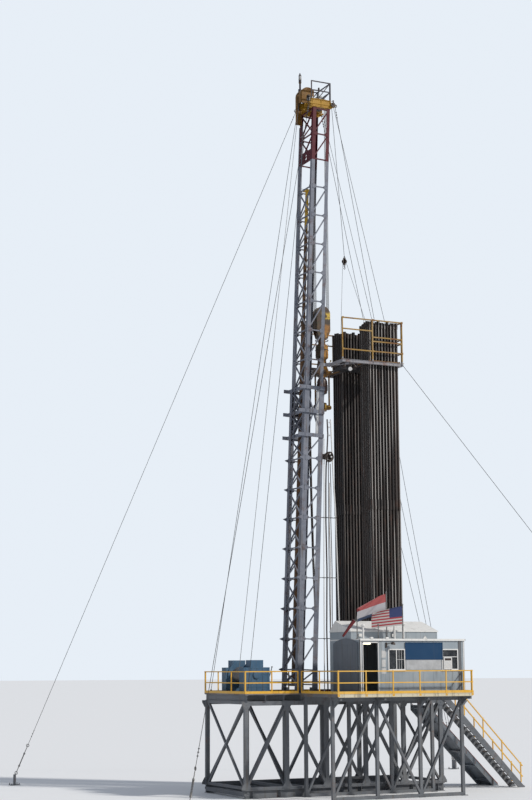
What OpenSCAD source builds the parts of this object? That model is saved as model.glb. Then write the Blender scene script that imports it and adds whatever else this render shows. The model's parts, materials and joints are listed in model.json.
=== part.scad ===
// Oil drilling rig: telescoping guyed mast on a box substructure, with racking board,
// crew house, stair and pipe ramp. Millimetres, +Z up, ground at z = 0.
// Origin: middle of the four ground anchors. The well lies on the X axis at well_x.

/* [Site] */
// Place of the well along X, from the middle of the anchors
well_x = -1250; // [-1400:50:-1100]
// Distance of the ground anchors from the middle, along X
anchor_x = 13750; // [13000:50:14500]
// Distance of the ground anchors from the middle, along Y
anchor_y = 12000; // [11000:50:13000]
// Diameter of a guy line
guy_d = 24; // [18:1:30]

/* [Substructure] */
// Height of the drill floor above the ground
floor_h = 4880; // [4600:10:5200]
// Reach of the drill floor behind the well
floor_rear = 5600; // [5400:50:6000]
// Reach of the drill floor in front of the well
floor_front = 5400; // [5200:50:5800]
// Width of the drill floor
floor_w = 4900; // [4800:50:5200]
// Thickness of the drill floor plate
floor_t = 60; // [40:5:80]
// Height of the base skid beams
skid_h = 400; // [300:10:500]
// Flange width of the base skid beams
skid_w = 300; // [240:10:360]
// Height of the floor joists
joist_h = 300; // [240:10:360]
// Bore of the rotary table
rotary_bore = 520; // [400:10:600]

/* [Mast] */
// Forward lean of the mast in degrees
lean = 2.3; // [2:0.1:3]
// Distance of the mast's back face behind the well, at the drill floor
mast_back = 2060; // [2000:10:2150]
// Width of the lower mast section
lower_w = 1750; // [1720:10:1800]
// Depth of the lower mast section
lower_depth = 1110; // [1100:10:1200]
// Leg angle of the lower section
lower_leg = 270; // [240:5:290]
// Thickness of the lower leg angle
lower_leg_t = 16; // [12:1:20]
// Gap at each side between the lower section's bars and the upper section
nest_gap = 24; // [16:1:40]
// Leg angle of the upper section
upper_leg = 190; // [170:5:210]
// Thickness of the upper leg angle
upper_leg_t = 14; // [10:1:18]
// Height of one bay of bracing
bay = 1520; // [1480:10:1560]
// Height of the first full bay's level bar above the drill floor
first_bar = 2660; // [2500:10:2800]
// Depth of the lowest collar below the racking board
collar_drop = 3810; // [3750:10:3950]
// Spacing of the three collars
collar_pitch = 1230; // [1150:10:1300]
// Height of the foot of the top section above the racking board
top_rise = 10930; // [10800:10:11100]
// Length of the top section
top_len = 2910; // [2800:10:3000]
// Height of the scoping ram's barrel above the racking board
barrel_rise = 2350; // [2000:50:2600]
// Diameter of the scoping ram's barrel
barrel_d = 240; // [220:5:260]
// Diameter of the scoping ram's rod
rod_d = 180; // [160:5:200]
// Size of the square bracing bars
bar = 60; // [40:2:80]

/* [Crown and block] */
// Height of the crown beams
crown_h = 450; // [380:10:500]
// Diameter of the sheaves
sheave_d = 760; // [700:10:800]
// Width of one sheave
sheave_w = 70; // [60:2:80]
// Number of sheaves in the crown cluster
sheave_n = 4; // [3:1:5]
// Height of the travelling block's sheave pin above the racking board
block_rise = 2750; // [2400:50:2900]
// Width of the travelling block over its plates
block_w = 460; // [420:10:500]
// Diameter of the drill line
line_d = 26; // [20:1:32]
// Depth of the elevator's underside below the racking board
elevator_drop = 2400; // [2150:10:2650]
// Distance of the drawworks drum behind the well
drum_back = 4450; // [4300:50:4500]
// Height of the drum's shaft above the drill floor
drum_rise = 900; // [850:10:1000]
// Radius of the drum's barrel
drum_core = 360; // [300:10:400]
// Length of the drum's barrel
drum_len = 1460; // [1400:10:1500]

/* [Racking board] */
// Height of the racked pipe above the racking board
stand_rise = 2130; // [1900:10:2300]
// Width of the racking board
board_w = 4420; // [4200:10:4600]
// Front edge of the racking board in front of the well
board_front = 3600; // [3500:10:3800]
// Back beam of the racking board in front of the well
board_back = 30; // [0:10:100]
// Height of the rails round the racking board
cage_h = 2200; // [1800:10:2400]
// Spacing of the pipe rows along the board
pipe_pitch = 178; // [174:1:190]
// Number of pipe rows along the board
row_n = 10; // [8:1:10]
// Number of pipes in one row
pipe_n = 5; // [4:1:6]
// Drill pipe diameter
pipe_d = 127; // [114:1:130]
// Tool joint diameter
joint_d = 165; // [150:1:168]
// Length of one joint of drill pipe
pipe_len = 9450; // [9300:10:9500]
// First pipe row in front of the well
stand_x = 1760; // [1700:10:1900]

/* [Crew house] */
// Right end of the house, from the well
house_right = 4770; // [4600:10:4900]
// Depth of the house
house_depth = 3050; // [2900:10:3200]
// Height of the front wall
wall_h = 2500; // [2400:10:2700]
// Wall thickness
wall_t = 80; // [60:5:100]
// Depth of the low roof along the front
low_depth = 900; // [800:10:1100]
// Height of the wall band of the raised roof
band_h = 360; // [300:10:500]
// Rise of the raised roof's ridge
ridge_rise = 550; // [400:10:700]
// Distance of the ridge in front of the back wall
ridge_back = 620; // [500:10:800]
// Left side of the doorway, from the well
door_left = -850; // [-900:10:-800]
// Width of the doorway
door_w = 810; // [780:10:860]
// Height of the doorway
door_h = 2370; // [2200:10:2400]
// Thickness of the door leaf
door_t = 40; // [36:1:44]
// Width of the walkway in front of the house
walk_w = 850; // [800:10:950]
// Length of the open deck to the left of the house
deck_left = 1650; // [1500:50:1800]
// Height of the handrails
rail_h = 1070; // [1000:10:1150]

/* [Stair and ramp] */
// Width of the stair
stair_w = 900; // [800:10:1000]
// Number of rises
rise_n = 24; // [22:1:26]
// Run of the stair
stair_run = 4750; // [4500:10:5000]
// Depth of the stair's stringers
stringer_h = 250; // [200:5:300]
// Width of the pipe ramp
ramp_w = 1600; // [1500:10:1800]
// Depth of the pipe ramp's head below the drill floor
ramp_drop = 650; // [600:10:700]
// Run of the pipe ramp
ramp_run = 4300; // [4100:50:4500]

/* [Hidden] */
$fn = 48;
seat = 0.3;
rope_fn = 6;
knuckle_r = 50;

// General shapes

// A bar between two points of a plane, w wide
module bar2d(p, q, w) {
    v = q - p;
    translate(p) rotate(atan2(v[1], v[0])) translate([0, -w / 2]) square([norm(v), w]);
}

// Stands a drawing up: its x stays x, its y becomes z, and it is t thick towards +Y
module upright(t) translate([0, t, 0]) rotate([90, 0, 0]) linear_extrude(t) children();

// Stands a drawing up across the rig: its x becomes y, its y becomes z, t thick towards +X
module crosswise(t) rotate([90, 0, 90]) linear_extrude(t) children();

// An I section lying on its lower flange, w wide and h high
module i_section(w, h, web, flange) {
    translate([-w / 2, 0]) square([w, flange]);
    translate([-w / 2, h - flange]) square([w, flange]);
    translate([-web / 2, 0]) square([web, h]);
}

// A straight rope between two points, each end stopping short of a knuckle of radius r
module rope(p, q, d, r = knuckle_r) {
    v = q - p;
    len = norm(v);
    translate(p) rotate([0, acos(v[2] / len), atan2(v[1], v[0])])
        translate([0, 0, r + seat]) cylinder(h = len - 2 * (r + seat), d = d, $fn = rope_fn);
}

module at_well() translate([well_x, 0, 0]) children();

// The rear face of the mast as a frame: x forward, z up along the leaning legs
module in_mast() translate([well_x - mast_back, 0, floor_h]) rotate([0, lean, 0]) children();

// Distance up the leaning mast of a height above the ground, on its rear face
function up_mast(z) = (z - floor_h) / cos(lean);
// Place along X of the mast's rear face at a height above the ground
function mast_x(z) = well_x - mast_back + tan(lean) * (z - floor_h);

// The pipe's length sets the racking board's height, and the board sets the mast's
board_z = floor_h + 2 * pipe_len - stand_rise;
collar_z = board_z - collar_drop;
top_z = board_z + top_rise;
crown_z = top_z + top_len;
block_z = board_z + block_rise;
elevator_z = board_z - elevator_drop;

nest_front = 10;
big = 8000;
shoe_h = 260;
// Keeps what lies between two level planes
module between(z0, z1) intersection() {
    children();
    translate([well_x - big, -big, z0]) cube([2 * big, 2 * big, z1 - z0]);
}

// Substructure

sub_y = floor_w / 2 - skid_w / 2;
side_h = floor_h - floor_t - joist_h - skid_h;
post = 200;
side_bays = 5;
side_pitch = (floor_rear + floor_front - post) / side_bays;

module base_frame() color("gray") at_well() {
    for (s = [-1, 1]) translate([-floor_rear, s * sub_y, 0])
        crosswise(floor_rear + floor_front) i_section(skid_w, skid_h, 20, 25);
    for (i = [0 : side_bays]) translate([-floor_rear + i * side_pitch, -sub_y + 10, 100])
        cube([post, 2 * sub_y - 20, 200]);
}

module side_frame() {
    len = floor_rear + floor_front;
    intersection() {
        square([len, side_h]);
        union() {
            for (i = [0 : side_bays]) translate([i * side_pitch, 0]) square([post, side_h]);
            translate([0, side_h - post]) square([len, post]);
            square([len, 120]);
            for (i = [0 : side_bays - 1]) {
                a = [i * side_pitch + post / 2, 60];
                b = [(i + 1) * side_pitch + post / 2, side_h - post / 2];
                if (i % 2 == 0) bar2d(a, b, 120);
                else bar2d([a[0], b[1]], [b[0], a[1]], 120);
            }
        }
    }
}

module substructure_sides() color("slategray") at_well()
    for (s = [-1, 1]) translate([-floor_rear, s * sub_y - 80, skid_h]) upright(160) side_frame();

brace_w = 2 * sub_y - 160;
module brace_frame() {
    intersection() {
        translate([-brace_w / 2, 0]) square([brace_w, side_h]);
        union() {
            for (s = [-1, 1]) bar2d([-s * brace_w / 2, 0], [s * brace_w / 2, side_h], 110);
            translate([-brace_w / 2, side_h - 140]) square([brace_w, 140]);
            translate([-brace_w / 2, 0]) square([brace_w, 140]);
        }
    }
}

module substructure_braces() color("slategray") at_well()
    for (x = [-floor_rear + 50, -floor_rear + 50 + side_pitch, floor_front - post + 50])
        translate([x, 0, skid_h]) crosswise(100) brace_frame();

joist_n = 12;
joist_pitch = (floor_rear + floor_front - 200) / (joist_n - 1);
module floor_joists() color("gray") at_well()
    for (i = [0 : joist_n - 1])
        translate([-floor_rear + 100 + i * joist_pitch, floor_w / 2, floor_h - floor_t - joist_h])
            rotate([90, 0, 0]) linear_extrude(floor_w) i_section(140, joist_h, 12, 18);

table_w = 1200;
module drill_floor() color("dimgray") at_well() difference() {
    translate([-floor_rear, -floor_w / 2, floor_h - floor_t])
        cube([floor_rear + floor_front, floor_w, floor_t]);
    translate([-table_w / 2, -table_w / 2, floor_h - floor_t - 10])
        cube([table_w, table_w, floor_t + 20]);
}

table_h = 160;
module rotary_table() color("firebrick") at_well() translate([0, 0, floor_h - floor_t])
    difference() {
        union() {
            translate([-table_w / 2, -table_w / 2, 0]) cube([table_w, table_w, floor_t]);
            translate([0, 0, floor_t]) cylinder(h = table_h - floor_t, d = table_w - 120);
        }
        translate([0, 0, -10]) cylinder(h = table_h + 20, d = rotary_bore);
    }

// Mast

// An angle leg with its corner at the origin, arms towards +x and +y
module leg_section(a, t) {
    square([a, t]);
    square([t, a]);
}

// Legs and bracing of one side, drawn at the near side: outer face on y = -w / 2.
// Single diagonals join the bars, and one large cross fills the panel between the two cross levels
module mast_side(w, x0, depth, leg, t, z0, z1, bars, cross) {
    translate([x0, -w / 2, z0]) linear_extrude(z1 - z0) leg_section(leg, t);
    translate([x0 + depth, -w / 2, z0]) mirror([1, 0, 0]) linear_extrude(z1 - z0) leg_section(leg, t);
    translate([x0, -w / 2 + t, 0]) upright(bar) intersection() {
        translate([t + bar, z0]) square([depth - 2 * (t + bar), z1 - z0]);
        union() {
            for (z = concat(bars, cross)) translate([0, z - bar / 2]) square([depth, bar]);
            for (i = [0 : len(bars) - 2])
                bar2d([bar, bars[i]], [depth - bar, bars[i + 1]], bar);
            if (len(cross) == 2) crossed_panel(depth, cross[0], cross[1]);
        }
    }
}

// Two long diagonals that meet in a square plate with a round hole
module crossed_panel(depth, z0, z1) difference() {
    union() {
        bar2d([bar, z0], [depth - bar, z1], bar);
        bar2d([bar, z1], [depth - bar, z0], bar);
        translate([depth / 2, (z0 + z1) / 2]) square(cross_plate, center = true);
        for (s = [-1, 1]) translate([0, (z0 + z1) / 2 + s * cross_plate / 3 - bar / 2])
            square([depth / 2, bar]);
    }
    translate([depth / 2, (z0 + z1) / 2]) circle(d = cross_hole);
}
cross_plate = 300;
cross_hole = 130;

// Level bars and crossed diagonals of the back, between the two rear legs
module mast_rear(w, x0, t, z0, z1, bars) {
    half = w / 2 - t;
    translate([x0 + t, 0, 0]) crosswise(bar) intersection() {
        translate([-half, z0]) square([2 * half, z1 - z0]);
        union() {
            for (z = bars) translate([-half, z - bar / 2]) square([2 * half, bar]);
            for (i = [0 : len(bars) - 2]) {
                bar2d([-half, bars[i]], [half, bars[i + 1]], bar);
                bar2d([half, bars[i]], [-half, bars[i + 1]], bar);
            }
        }
    }
}

module both_sides() {
    children();
    mirror([0, 1, 0]) children();
}

lower_top = collar_z + 2 * collar_pitch + 120;
lower_bays = floor((collar_z - floor_h - first_bar) / bay);
lower_bars = [floor_h + shoe_h + 160, floor_h + 1140,
    for (i = [0 : lower_bays]) floor_h + first_bar + i * bay, collar_z];
collar_bars = [for (i = [0 : 2]) collar_z + i * collar_pitch];
upper_x = lower_leg_t + bar + nest_front;
upper_w = lower_w - 2 * (lower_leg_t + bar + nest_gap);
upper_depth = lower_depth - upper_x - lower_leg_t - nest_front;
upper_foot = collar_z - 260;
upper_bay = bay + 30;
upper_first = collar_z + 2 * collar_pitch + bay;
upper_bays = floor((top_z - upper_first) / upper_bay);
upper_bars = [collar_bars[2], for (i = [0 : upper_bays]) upper_first + i * upper_bay];
top_bars = [top_z + bar, (top_z + crown_z) / 2, crown_z - bar];
lug_reach = 190;

function all_up(zs) = [for (z = zs) up_mast(z)];

module lower_mast_sides() color("lightsteelblue")
    between(floor_h + shoe_h, lower_top + big) in_mast() both_sides() {
        mast_side(lower_w, 0, lower_depth, lower_leg, lower_leg_t, 0, up_mast(lower_top),
            all_up(lower_bars), all_up([collar_bars[0], collar_bars[2]]));
        // Pointed lugs on the rear leg at the level bars below the collars
        translate([0, -lower_w / 2, 0]) upright(lower_leg_t)
            for (i = [1 : len(lower_bars) - 2]) translate([0, up_mast(lower_bars[i])])
                polygon([[10, -90], [10, 90], [-lug_reach, 15], [-lug_reach, -15]]);
    }

module lower_mast_back() color("lightsteelblue")
    between(floor_h + shoe_h, lower_top + big) in_mast()
        mast_rear(lower_w, 0, lower_leg_t, 0, up_mast(lower_top),
            all_up(concat(lower_bars, [collar_bars[1], collar_bars[2]])));

module upper_mast_sides() color("lightsteelblue") in_mast() both_sides()
    mast_side(upper_w, upper_x, upper_depth, upper_leg, upper_leg_t,
        up_mast(upper_foot), up_mast(top_z), all_up(upper_bars),
        all_up([collar_bars[0], collar_bars[2]]));

module upper_mast_back() color("lightsteelblue") in_mast()
    mast_rear(upper_w, upper_x, upper_leg_t, up_mast(upper_foot), up_mast(top_z),
        all_up(concat([collar_bars[0], collar_bars[1]], upper_bars)));

module top_section_sides() color("maroon") between(floor_h, crown_z) in_mast() both_sides()
    mast_side(upper_w, upper_x, upper_depth, upper_leg, upper_leg_t,
        up_mast(top_z), up_mast(crown_z) + 100, all_up(top_bars), []);

// The back of the top section, with a plate across its foot that has a hole in the middle
foot_plate = 620;
module top_section_back() color("maroon") between(floor_h, crown_z) in_mast() difference() {
    union() {
        mast_rear(upper_w, upper_x, upper_leg_t, up_mast(top_z), up_mast(crown_z) + 100,
            all_up(top_bars));
        translate([upper_x + upper_leg_t, 0, up_mast(top_z)]) crosswise(bar)
            translate([-upper_w / 2 + upper_leg_t, 0])
                square([upper_w - 2 * upper_leg_t, foot_plate]);
    }
    translate([upper_x, 0, up_mast(top_z) + foot_plate / 2]) rotate([0, 90, 0])
        cylinder(h = 2 * bar, d = foot_plate / 2);
}

shoe_top = floor_h + shoe_h;
module mast_shoes() color("gray") {
    for (s = [-1, 1]) for (x = [mast_x(shoe_top) + lower_leg / 2,
            mast_x(shoe_top) + lower_depth / cos(lean) - lower_leg / 2])
        translate([x - 180, s * (lower_w / 2 - lower_leg / 2) - 180, floor_h]) {
            cube([360, 360, 40]);
            translate([40, 40, 40]) cube([280, 280, shoe_h - 40]);
        }
}

collar_w = 90;
collar_t = 80;
module collar() {
    hw = lower_w / 2;
    translate([0, 0, -collar_w]) linear_extrude(2 * collar_w) difference() {
        translate([-collar_t, -hw - collar_t])
            square([lower_depth + collar_t, lower_w + 2 * collar_t]);
        translate([0, -hw]) square([lower_depth + 10, lower_w]);
    }
    for (s = [-1, 1]) translate([-collar_t, s * (hw + collar_t - 40), -collar_w])
        linear_extrude(2 * collar_w) polygon([[10, -40], [10, 40], [-260, 12], [-260, -12]]);
}

// Wear blocks between the two sections, at the four legs, each clear of the bracing.
// For each collar: height of the rear blocks and of the front blocks above it
guide = [60, 75];
guide_rise = [[-150, 200], [-240, 70], [40, 40]];
module guide_blocks(rise) {
    gap_y = (lower_w - upper_w) / 2 - lower_leg_t;
    for (s = [-1, 1]) for (p = [[upper_x + 14, rise[0]], [upper_x + upper_depth - 14 - guide[0], rise[1]]])
        translate([p[0], s * (upper_w / 2 + gap_y / 2) - gap_y / 2, p[1]]) cube([guide[0], gap_y, guide[1]]);
}

module mast_collars() color("lightsteelblue") in_mast()
    for (i = [0 : 2]) translate([0, 0, up_mast(collar_z + i * collar_pitch)]) {
        collar();
        guide_blocks(guide_rise[i]);
    }

// The ram stands on a foot at the lower back and lifts by a bracket at the upper back's last bar
ram_y = 200;
ram_x = upper_x + 250;
ram_foot = shoe_h + 130;
module scoping_ram() color("goldenrod") in_mast() {
    barrel_top = up_mast(board_z + barrel_rise);
    rod_top = up_mast(upper_first + upper_bays * upper_bay) - 60;
    translate([ram_x, ram_y, ram_foot]) {
        cylinder(h = barrel_top - ram_foot, d = barrel_d);
        translate([0, 0, barrel_top - ram_foot - 160]) cylinder(h = 160, d = barrel_d + 50);
        translate([0, 0, barrel_top - ram_foot]) cylinder(h = rod_top - barrel_top, d = rod_d);
    }
    translate([lower_leg_t + bar, ram_y - 150, ram_foot - 60])
        cube([ram_x + 150 - lower_leg_t - bar, 300, 60]);
    translate([upper_x + upper_leg_t + bar, ram_y - 130, rod_top])
        cube([ram_x + 130 - upper_x - upper_leg_t - bar, 260, 120]);
}

// Crown

crown_x = mast_x(crown_z) + upper_x - 110;
crown_len = upper_depth + 170;
crown_top = crown_z + crown_h;
beam_t = 120;
lug_z = crown_z + 200;
rear_lug = [crown_x - 130, upper_w / 2 + 10, lug_z];
front_lug = [crown_x + crown_len + 230, upper_w / 2 + 10, lug_z];
inner_lug = upper_w / 2 - 150;
inner_y = 260;
tail = 140;
beacon_h = 1880;
lantern_h = 560;
cheek_r = 180;

module crown_platform() color("goldenrod") {
    translate([crown_x, 0, crown_z]) for (s = [-1, 1]) {
        translate([0, s * (upper_w / 2 - beam_t / 2) - beam_t / 2, 0]) cube([crown_len, beam_t, crown_h]);
        translate([-tail, s * inner_y - beam_t / 4, 120]) cube([crown_len + tail, beam_t / 2, crown_h - 120]);
        for (x = [0, crown_len - beam_t])
            translate([x, s > 0 ? inner_y : -upper_w / 2, 120])
                cube([beam_t, upper_w / 2 - inner_y, crown_h - 180]);
    }
    for (s = [-1, 1]) {
        for (p = [rear_lug, front_lug]) {
            translate([p[0], s * p[1], p[2]]) sphere(r = knuckle_r);
            translate([p[0], s * inner_lug, p[2]]) sphere(r = knuckle_r);
        }
        translate([rear_lug[0], s * rear_lug[1] - 15, lug_z - 40])
            cube([front_lug[0] - rear_lug[0], 30, 80]);
        for (x = [rear_lug[0], crown_x + crown_len - 20])
            translate([x, s * inner_lug - 15, lug_z - 40])
                cube([x > rear_lug[0] ? front_lug[0] - x : 150, 30, 80]);
        // Rounded cheek at the front end of the outer beam
        translate([crown_x + crown_len - 20, s * (upper_w / 2 - beam_t / 2) - 30, lug_z])
            upright(60) intersection() {
                circle(r = cheek_r);
                translate([0, -cheek_r]) square([cheek_r, 2 * cheek_r]);
            }
    }
    translate([crown_x + beam_t / 2, upper_w / 2 - 110, crown_top]) {
        cylinder(h = beacon_h - lantern_h, d = 90);
        translate([0, 0, beacon_h - lantern_h]) cylinder(h = lantern_h - 160, d = 140);
        translate([0, 0, beacon_h - 160]) cylinder(h = 160, d1 = 140, d2 = 30);
    }
}

sheave_z = crown_top + 60;
groove_r = sheave_w * 0.35;
// Distance of a line in the groove from the sheave's pin
line_r = sheave_d / 2 - groove_r + line_d / 2 + seat;
fast_x = crown_x + 70;
fast_z = sheave_z + 220;
cluster_gap = 20;
cluster_w = sheave_n * sheave_w + (sheave_n - 1) * cluster_gap;

// A grooved sheave on a pin along Y
module sheave(w = sheave_w) rotate([90, 0, 0]) rotate_extrude() {
    difference() {
        translate([90, -w / 2]) square([sheave_d / 2 - 90, w]);
        translate([sheave_d / 2, 0]) circle(r = groove_r);
        translate([170, -w]) square([sheave_d / 2 - 260, w - w * 0.25]);
        translate([170, w * 0.25]) square([sheave_d / 2 - 260, w]);
    }
    translate([55, -w / 2 - 5]) square([60, w + 10]);
}

function sheave_y(i) = -cluster_w / 2 + sheave_w / 2 + i * (sheave_w + cluster_gap);

module crown_sheaves() color("dimgray") {
    translate([well_x, 0, sheave_z]) {
        for (i = [0 : sheave_n - 1]) translate([0, sheave_y(i), 0]) sheave();
        rotate([90, 0, 0]) cylinder(h = 2 * inner_y + 60, d = 110.4, center = true);
    }
    translate([fast_x, 0, fast_z]) {
        sheave();
        rotate([90, 0, 0]) cylinder(h = 2 * inner_y + 60, d = 110.4, center = true);
    }
    for (p = [[well_x, sheave_z], [fast_x, fast_z]]) for (s = [-1, 1])
        translate([p[0] - 90, s * inner_y - 30, crown_top]) cube([180, 60, p[1] - crown_top]);
}

// Rounded hood over one side of the rear sheave, its side plate on the beam that carries the pin.
// It runs straight down behind the crown by drop
hood_r = sheave_d / 2 + 100;
hood_t = 12;
hood_front = 330;
near_drop = 420;
far_drop = 1500;
module hood_outline(r, drop) {
    intersection() {
        circle(r = r, $fn = 64);
        translate([-r, 0]) square([r + hood_front, r]);
    }
    translate([-r, -drop]) square([r - 120, drop]);
}

module hood(drop) {
    y_side = inner_y + beam_t / 4;
    translate([fast_x, 0, fast_z]) {
        translate([0, y_side, 0]) upright(hood_t) hood_outline(hood_r, drop);
        translate([0, 60, 0]) upright(y_side + hood_t - 60) difference() {
            hood_outline(hood_r, drop);
            hood_outline(hood_r - hood_t, drop + 10);
            translate([-hood_r + hood_t, -drop - 10]) square([hood_r, drop + 20]);
        }
    }
}

module crown_guards() color("goldenrod") {
    hood(far_drop);
    mirror([0, 1, 0]) hood(near_drop);
}

rail_d = 50;
module rail_panel(len, h, n, rails) {
    for (i = [0 : n]) translate([i * (len - rail_d) / n, 0]) square([rail_d, h]);
    for (z = rails) translate([0, z - rail_d]) square([len, rail_d]);
}

crown_rail = 1000;
module crown_railing() color("orange") {
    for (s = [-1, 1]) translate([crown_x, s * (upper_w / 2 - 25) - 25, crown_top])
        upright(rail_d) {
            rail_panel(crown_len, crown_rail, 1, [crown_rail, crown_rail / 2]);
            bar2d([crown_len * 0.36, 40], [crown_len - 30, crown_rail - 20], 40);
            bar2d([crown_len * 0.62, 40], [crown_len - 30, crown_rail / 2 - 20], 40);
        }
    translate([crown_x + crown_len - rail_d, -upper_w / 2 + rail_d + 1, crown_top])
        crosswise(rail_d) rail_panel(upper_w - 2 * rail_d - 2, crown_rail, 1, [crown_rail, crown_rail / 2]);
}

// Racking board

board_t = 150;
beam = 120;
mast_front = mast_x(board_z) + (upper_x + upper_depth) / cos(lean) - well_x + 12;
finger_x0 = stand_x - pipe_pitch / 2;
finger_len = pipe_n * 225 + 60;
strut_y = upper_w / 2 - 90;

module board_outline() {
    hw = board_w / 2;
    for (s = [-1, 1]) {
        translate([board_back, s * (hw - beam / 2) - beam / 2]) square([board_front - board_back, beam]);
        translate([board_back, s > 0 ? 600 : -hw]) square([beam, hw - 600]);
        translate([mast_front, s * strut_y - beam / 2]) square([board_back - mast_front + beam, beam]);
        bar2d([mast_front + 60, s * strut_y], [board_back + 1150, s * (hw - beam / 2)], beam / 2);
    }
    translate([board_front - beam, -hw]) square([beam, board_w]);
    translate([950, -350]) square([board_front - 950, 700]);
}

module board_frame() color("lightgray") at_well() {
    translate([0, 0, board_z - board_t]) linear_extrude(board_t) board_outline();
    for (s = [-1, 1])
        translate([board_front - beam / 2, s * (board_w / 2 + knuckle_r - 10), board_z - board_t / 2])
            sphere(r = knuckle_r);
}

finger_w = 38;
module board_fingers() color("orange") at_well() for (s = [-1, 1])
    translate([0, 0, board_z]) linear_extrude(70) {
        y_out = s * (board_w / 2 - cage_post - 50);
        translate([finger_x0 - 30, y_out - 40]) square([row_n * pipe_pitch + 60, 80]);
        for (i = [0 : row_n]) translate([finger_x0 + i * pipe_pitch - finger_w / 2,
                s > 0 ? y_out - finger_len : y_out])
            square([finger_w, finger_len]);
    }

cage_post = 60;
cage_len = board_front - board_back;
low_rail = 560;
double_rails = [1080, 1300];
high_rail = 1620;
hang_y = 600;
module cage_bars(x0, len, zs) for (z = zs) translate([x0, z - cage_post]) square([len, cage_post]);

// A side of the cage: one high rail in the rear bay and two lower ones in the front bay
module cage_side() {
    half = (cage_len - cage_post) / 2;
    for (i = [0 : 2]) translate([i * half, 0]) square([cage_post, cage_h]);
    cage_bars(0, cage_len, [low_rail, cage_h]);
    cage_bars(0, half, [high_rail]);
    cage_bars(half, half, double_rails);
}

module cage_front(len) {
    for (i = [0 : 3]) translate([i * (len - cage_post) / 3, 0]) square([cage_post, cage_h]);
    cage_bars(0, len, concat([low_rail, cage_h], double_rails));
}

module board_railing() color("goldenrod") at_well() {
    for (s = [-1, 1]) translate([board_back, s * (board_w / 2 - cage_post / 2) - cage_post / 2, board_z])
        upright(cage_post) cage_side();
    translate([board_front - cage_post, -board_w / 2 + cage_post + 1, board_z]) crosswise(cage_post)
        cage_front(board_w - 2 * cage_post - 2);
    for (s = [-1, 1]) translate([board_front - beam / 2, s * hang_y, board_z + cage_h + knuckle_r - 10])
        sphere(r = knuckle_r);
}

tool_joint = 500;
// Two joints of pipe, the upper one longer by odd
module pipe_stand(odd) {
    cylinder(h = 300, d = joint_d);
    translate([0, 0, 300]) cylinder(h = pipe_len - 600, d = pipe_d);
    translate([0, 0, pipe_len - 300]) cylinder(h = tool_joint, d = joint_d);
    translate([0, 0, pipe_len + 200]) cylinder(h = pipe_len - tool_joint + odd, d = pipe_d);
    translate([0, 0, 2 * pipe_len - 300 + odd]) cylinder(h = 300, d = joint_d);
}

// Real joints differ in length, so the tops of the stands are uneven
uneven = 70;
function stand_odd(i, j) = uneven * sin(137 * i + 71 * j);

stand_y = board_w / 2 - beam - 130;
row_pitch = 225;
module stand_group(s) at_well()
    for (i = [0 : row_n - 1]) for (j = [0 : pipe_n - 1])
        translate([stand_x + i * pipe_pitch, s * (stand_y - j * row_pitch), floor_h])
            pipe_stand(stand_odd(i, j), $fn = 16);

module near_pipe_stands() color("saddlebrown") stand_group(-1);
module far_pipe_stands() color("saddlebrown") stand_group(1);

// Travelling gear

plate_t = 40;
block_r = sheave_d / 2 + 20;
block_foot = 1250;
block_side = 900;
block_neck = 270;
block_pin = 120;
module block_plate() {
    circle(r = block_r, $fn = 64);
    polygon([[-block_r, 0], [block_r, 0], [block_r, -block_side], [block_neck, -block_foot],
        [-block_neck, -block_foot], [-block_r, -block_side]]);
}

module travelling_block() color("goldenrod") translate([well_x, 0, block_z]) {
    for (s = [-1, 1]) translate([0, s * (block_w / 2 - plate_t / 2) - plate_t / 2, 0])
        upright(plate_t) block_plate();
    for (i = [0 : sheave_n - 1]) translate([0, sheave_y(i), -block_pin]) sheave();
    translate([0, 0, -block_pin]) rotate([90, 0, 0]) cylinder(h = block_w, d = 150, center = true);
    translate([-block_neck, -block_w / 2 + 10, -block_foot - 60]) cube([2 * block_neck, block_w - 20, 400]);
}

hook_top = block_z - block_foot - 60 - seat;
body_h = 1150;
body_r = 330;
hook_z = hook_top - body_h - 620;
hook_t = 280;
link_x = 400;
link_d = 90;
eye_r = 115;
ear_z = hook_z - 40;
elevator_h = 420;
elevator_ear = elevator_z + elevator_h / 2;

// Turned body of the hook, from its foot up: shoulder, barrel and neck
module hook_body() rotate_extrude() polygon([[0, 0], [190, 0], [body_r, 130], [body_r, body_h - 420],
    [body_r - 70, body_h - 330], [190, body_h - 280], [190, body_h], [0, body_h]]);

// Bowl of the hook with its shank, and an ear for a link at each side
module hook_outline() difference() {
    union() {
        circle(r = 320);
        polygon([[-250, 150], [250, 150], [170, 660], [-170, 660]]);
        for (s = [-1, 1]) {
            bar2d([0, 0], [s * link_x, ear_z - hook_z], 150);
            translate([s * link_x, ear_z - hook_z]) circle(r = eye_r);
        }
    }
    translate([0, 20]) circle(r = 150);
}
module hook_and_links() color("goldenrod") translate([well_x, 0, 0]) {
    translate([0, 0, hook_top - body_h]) hook_body();
    translate([0, -hook_t / 2, hook_z]) upright(hook_t) hook_outline();
    for (s = [-1, 1]) {
        translate([s * link_x, 0, elevator_ear]) cylinder(h = ear_z - elevator_ear, d = link_d);
        translate([s * link_x, -link_d / 2, elevator_ear]) upright(link_d) circle(r = eye_r);
    }
    translate([0, 0, elevator_z]) difference() {
        union() {
            cylinder(h = elevator_h, d = 440);
            translate([-link_x, -80, 90]) cube([2 * link_x, 160, 240]);
        }
        translate([0, 0, -10]) cylinder(h = elevator_h + 20, d = 190);
    }
}

// Falls of the drill line between the crown cluster and the block
fall_foot = block_z - block_pin;
module drill_lines() color("silver") for (i = [0 : sheave_n - 1]) for (s = [-1, 1])
    translate([well_x + s * line_r, sheave_y(i), fall_foot])
        cylinder(h = sheave_z - fall_foot, d = line_d, $fn = 8);

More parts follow.
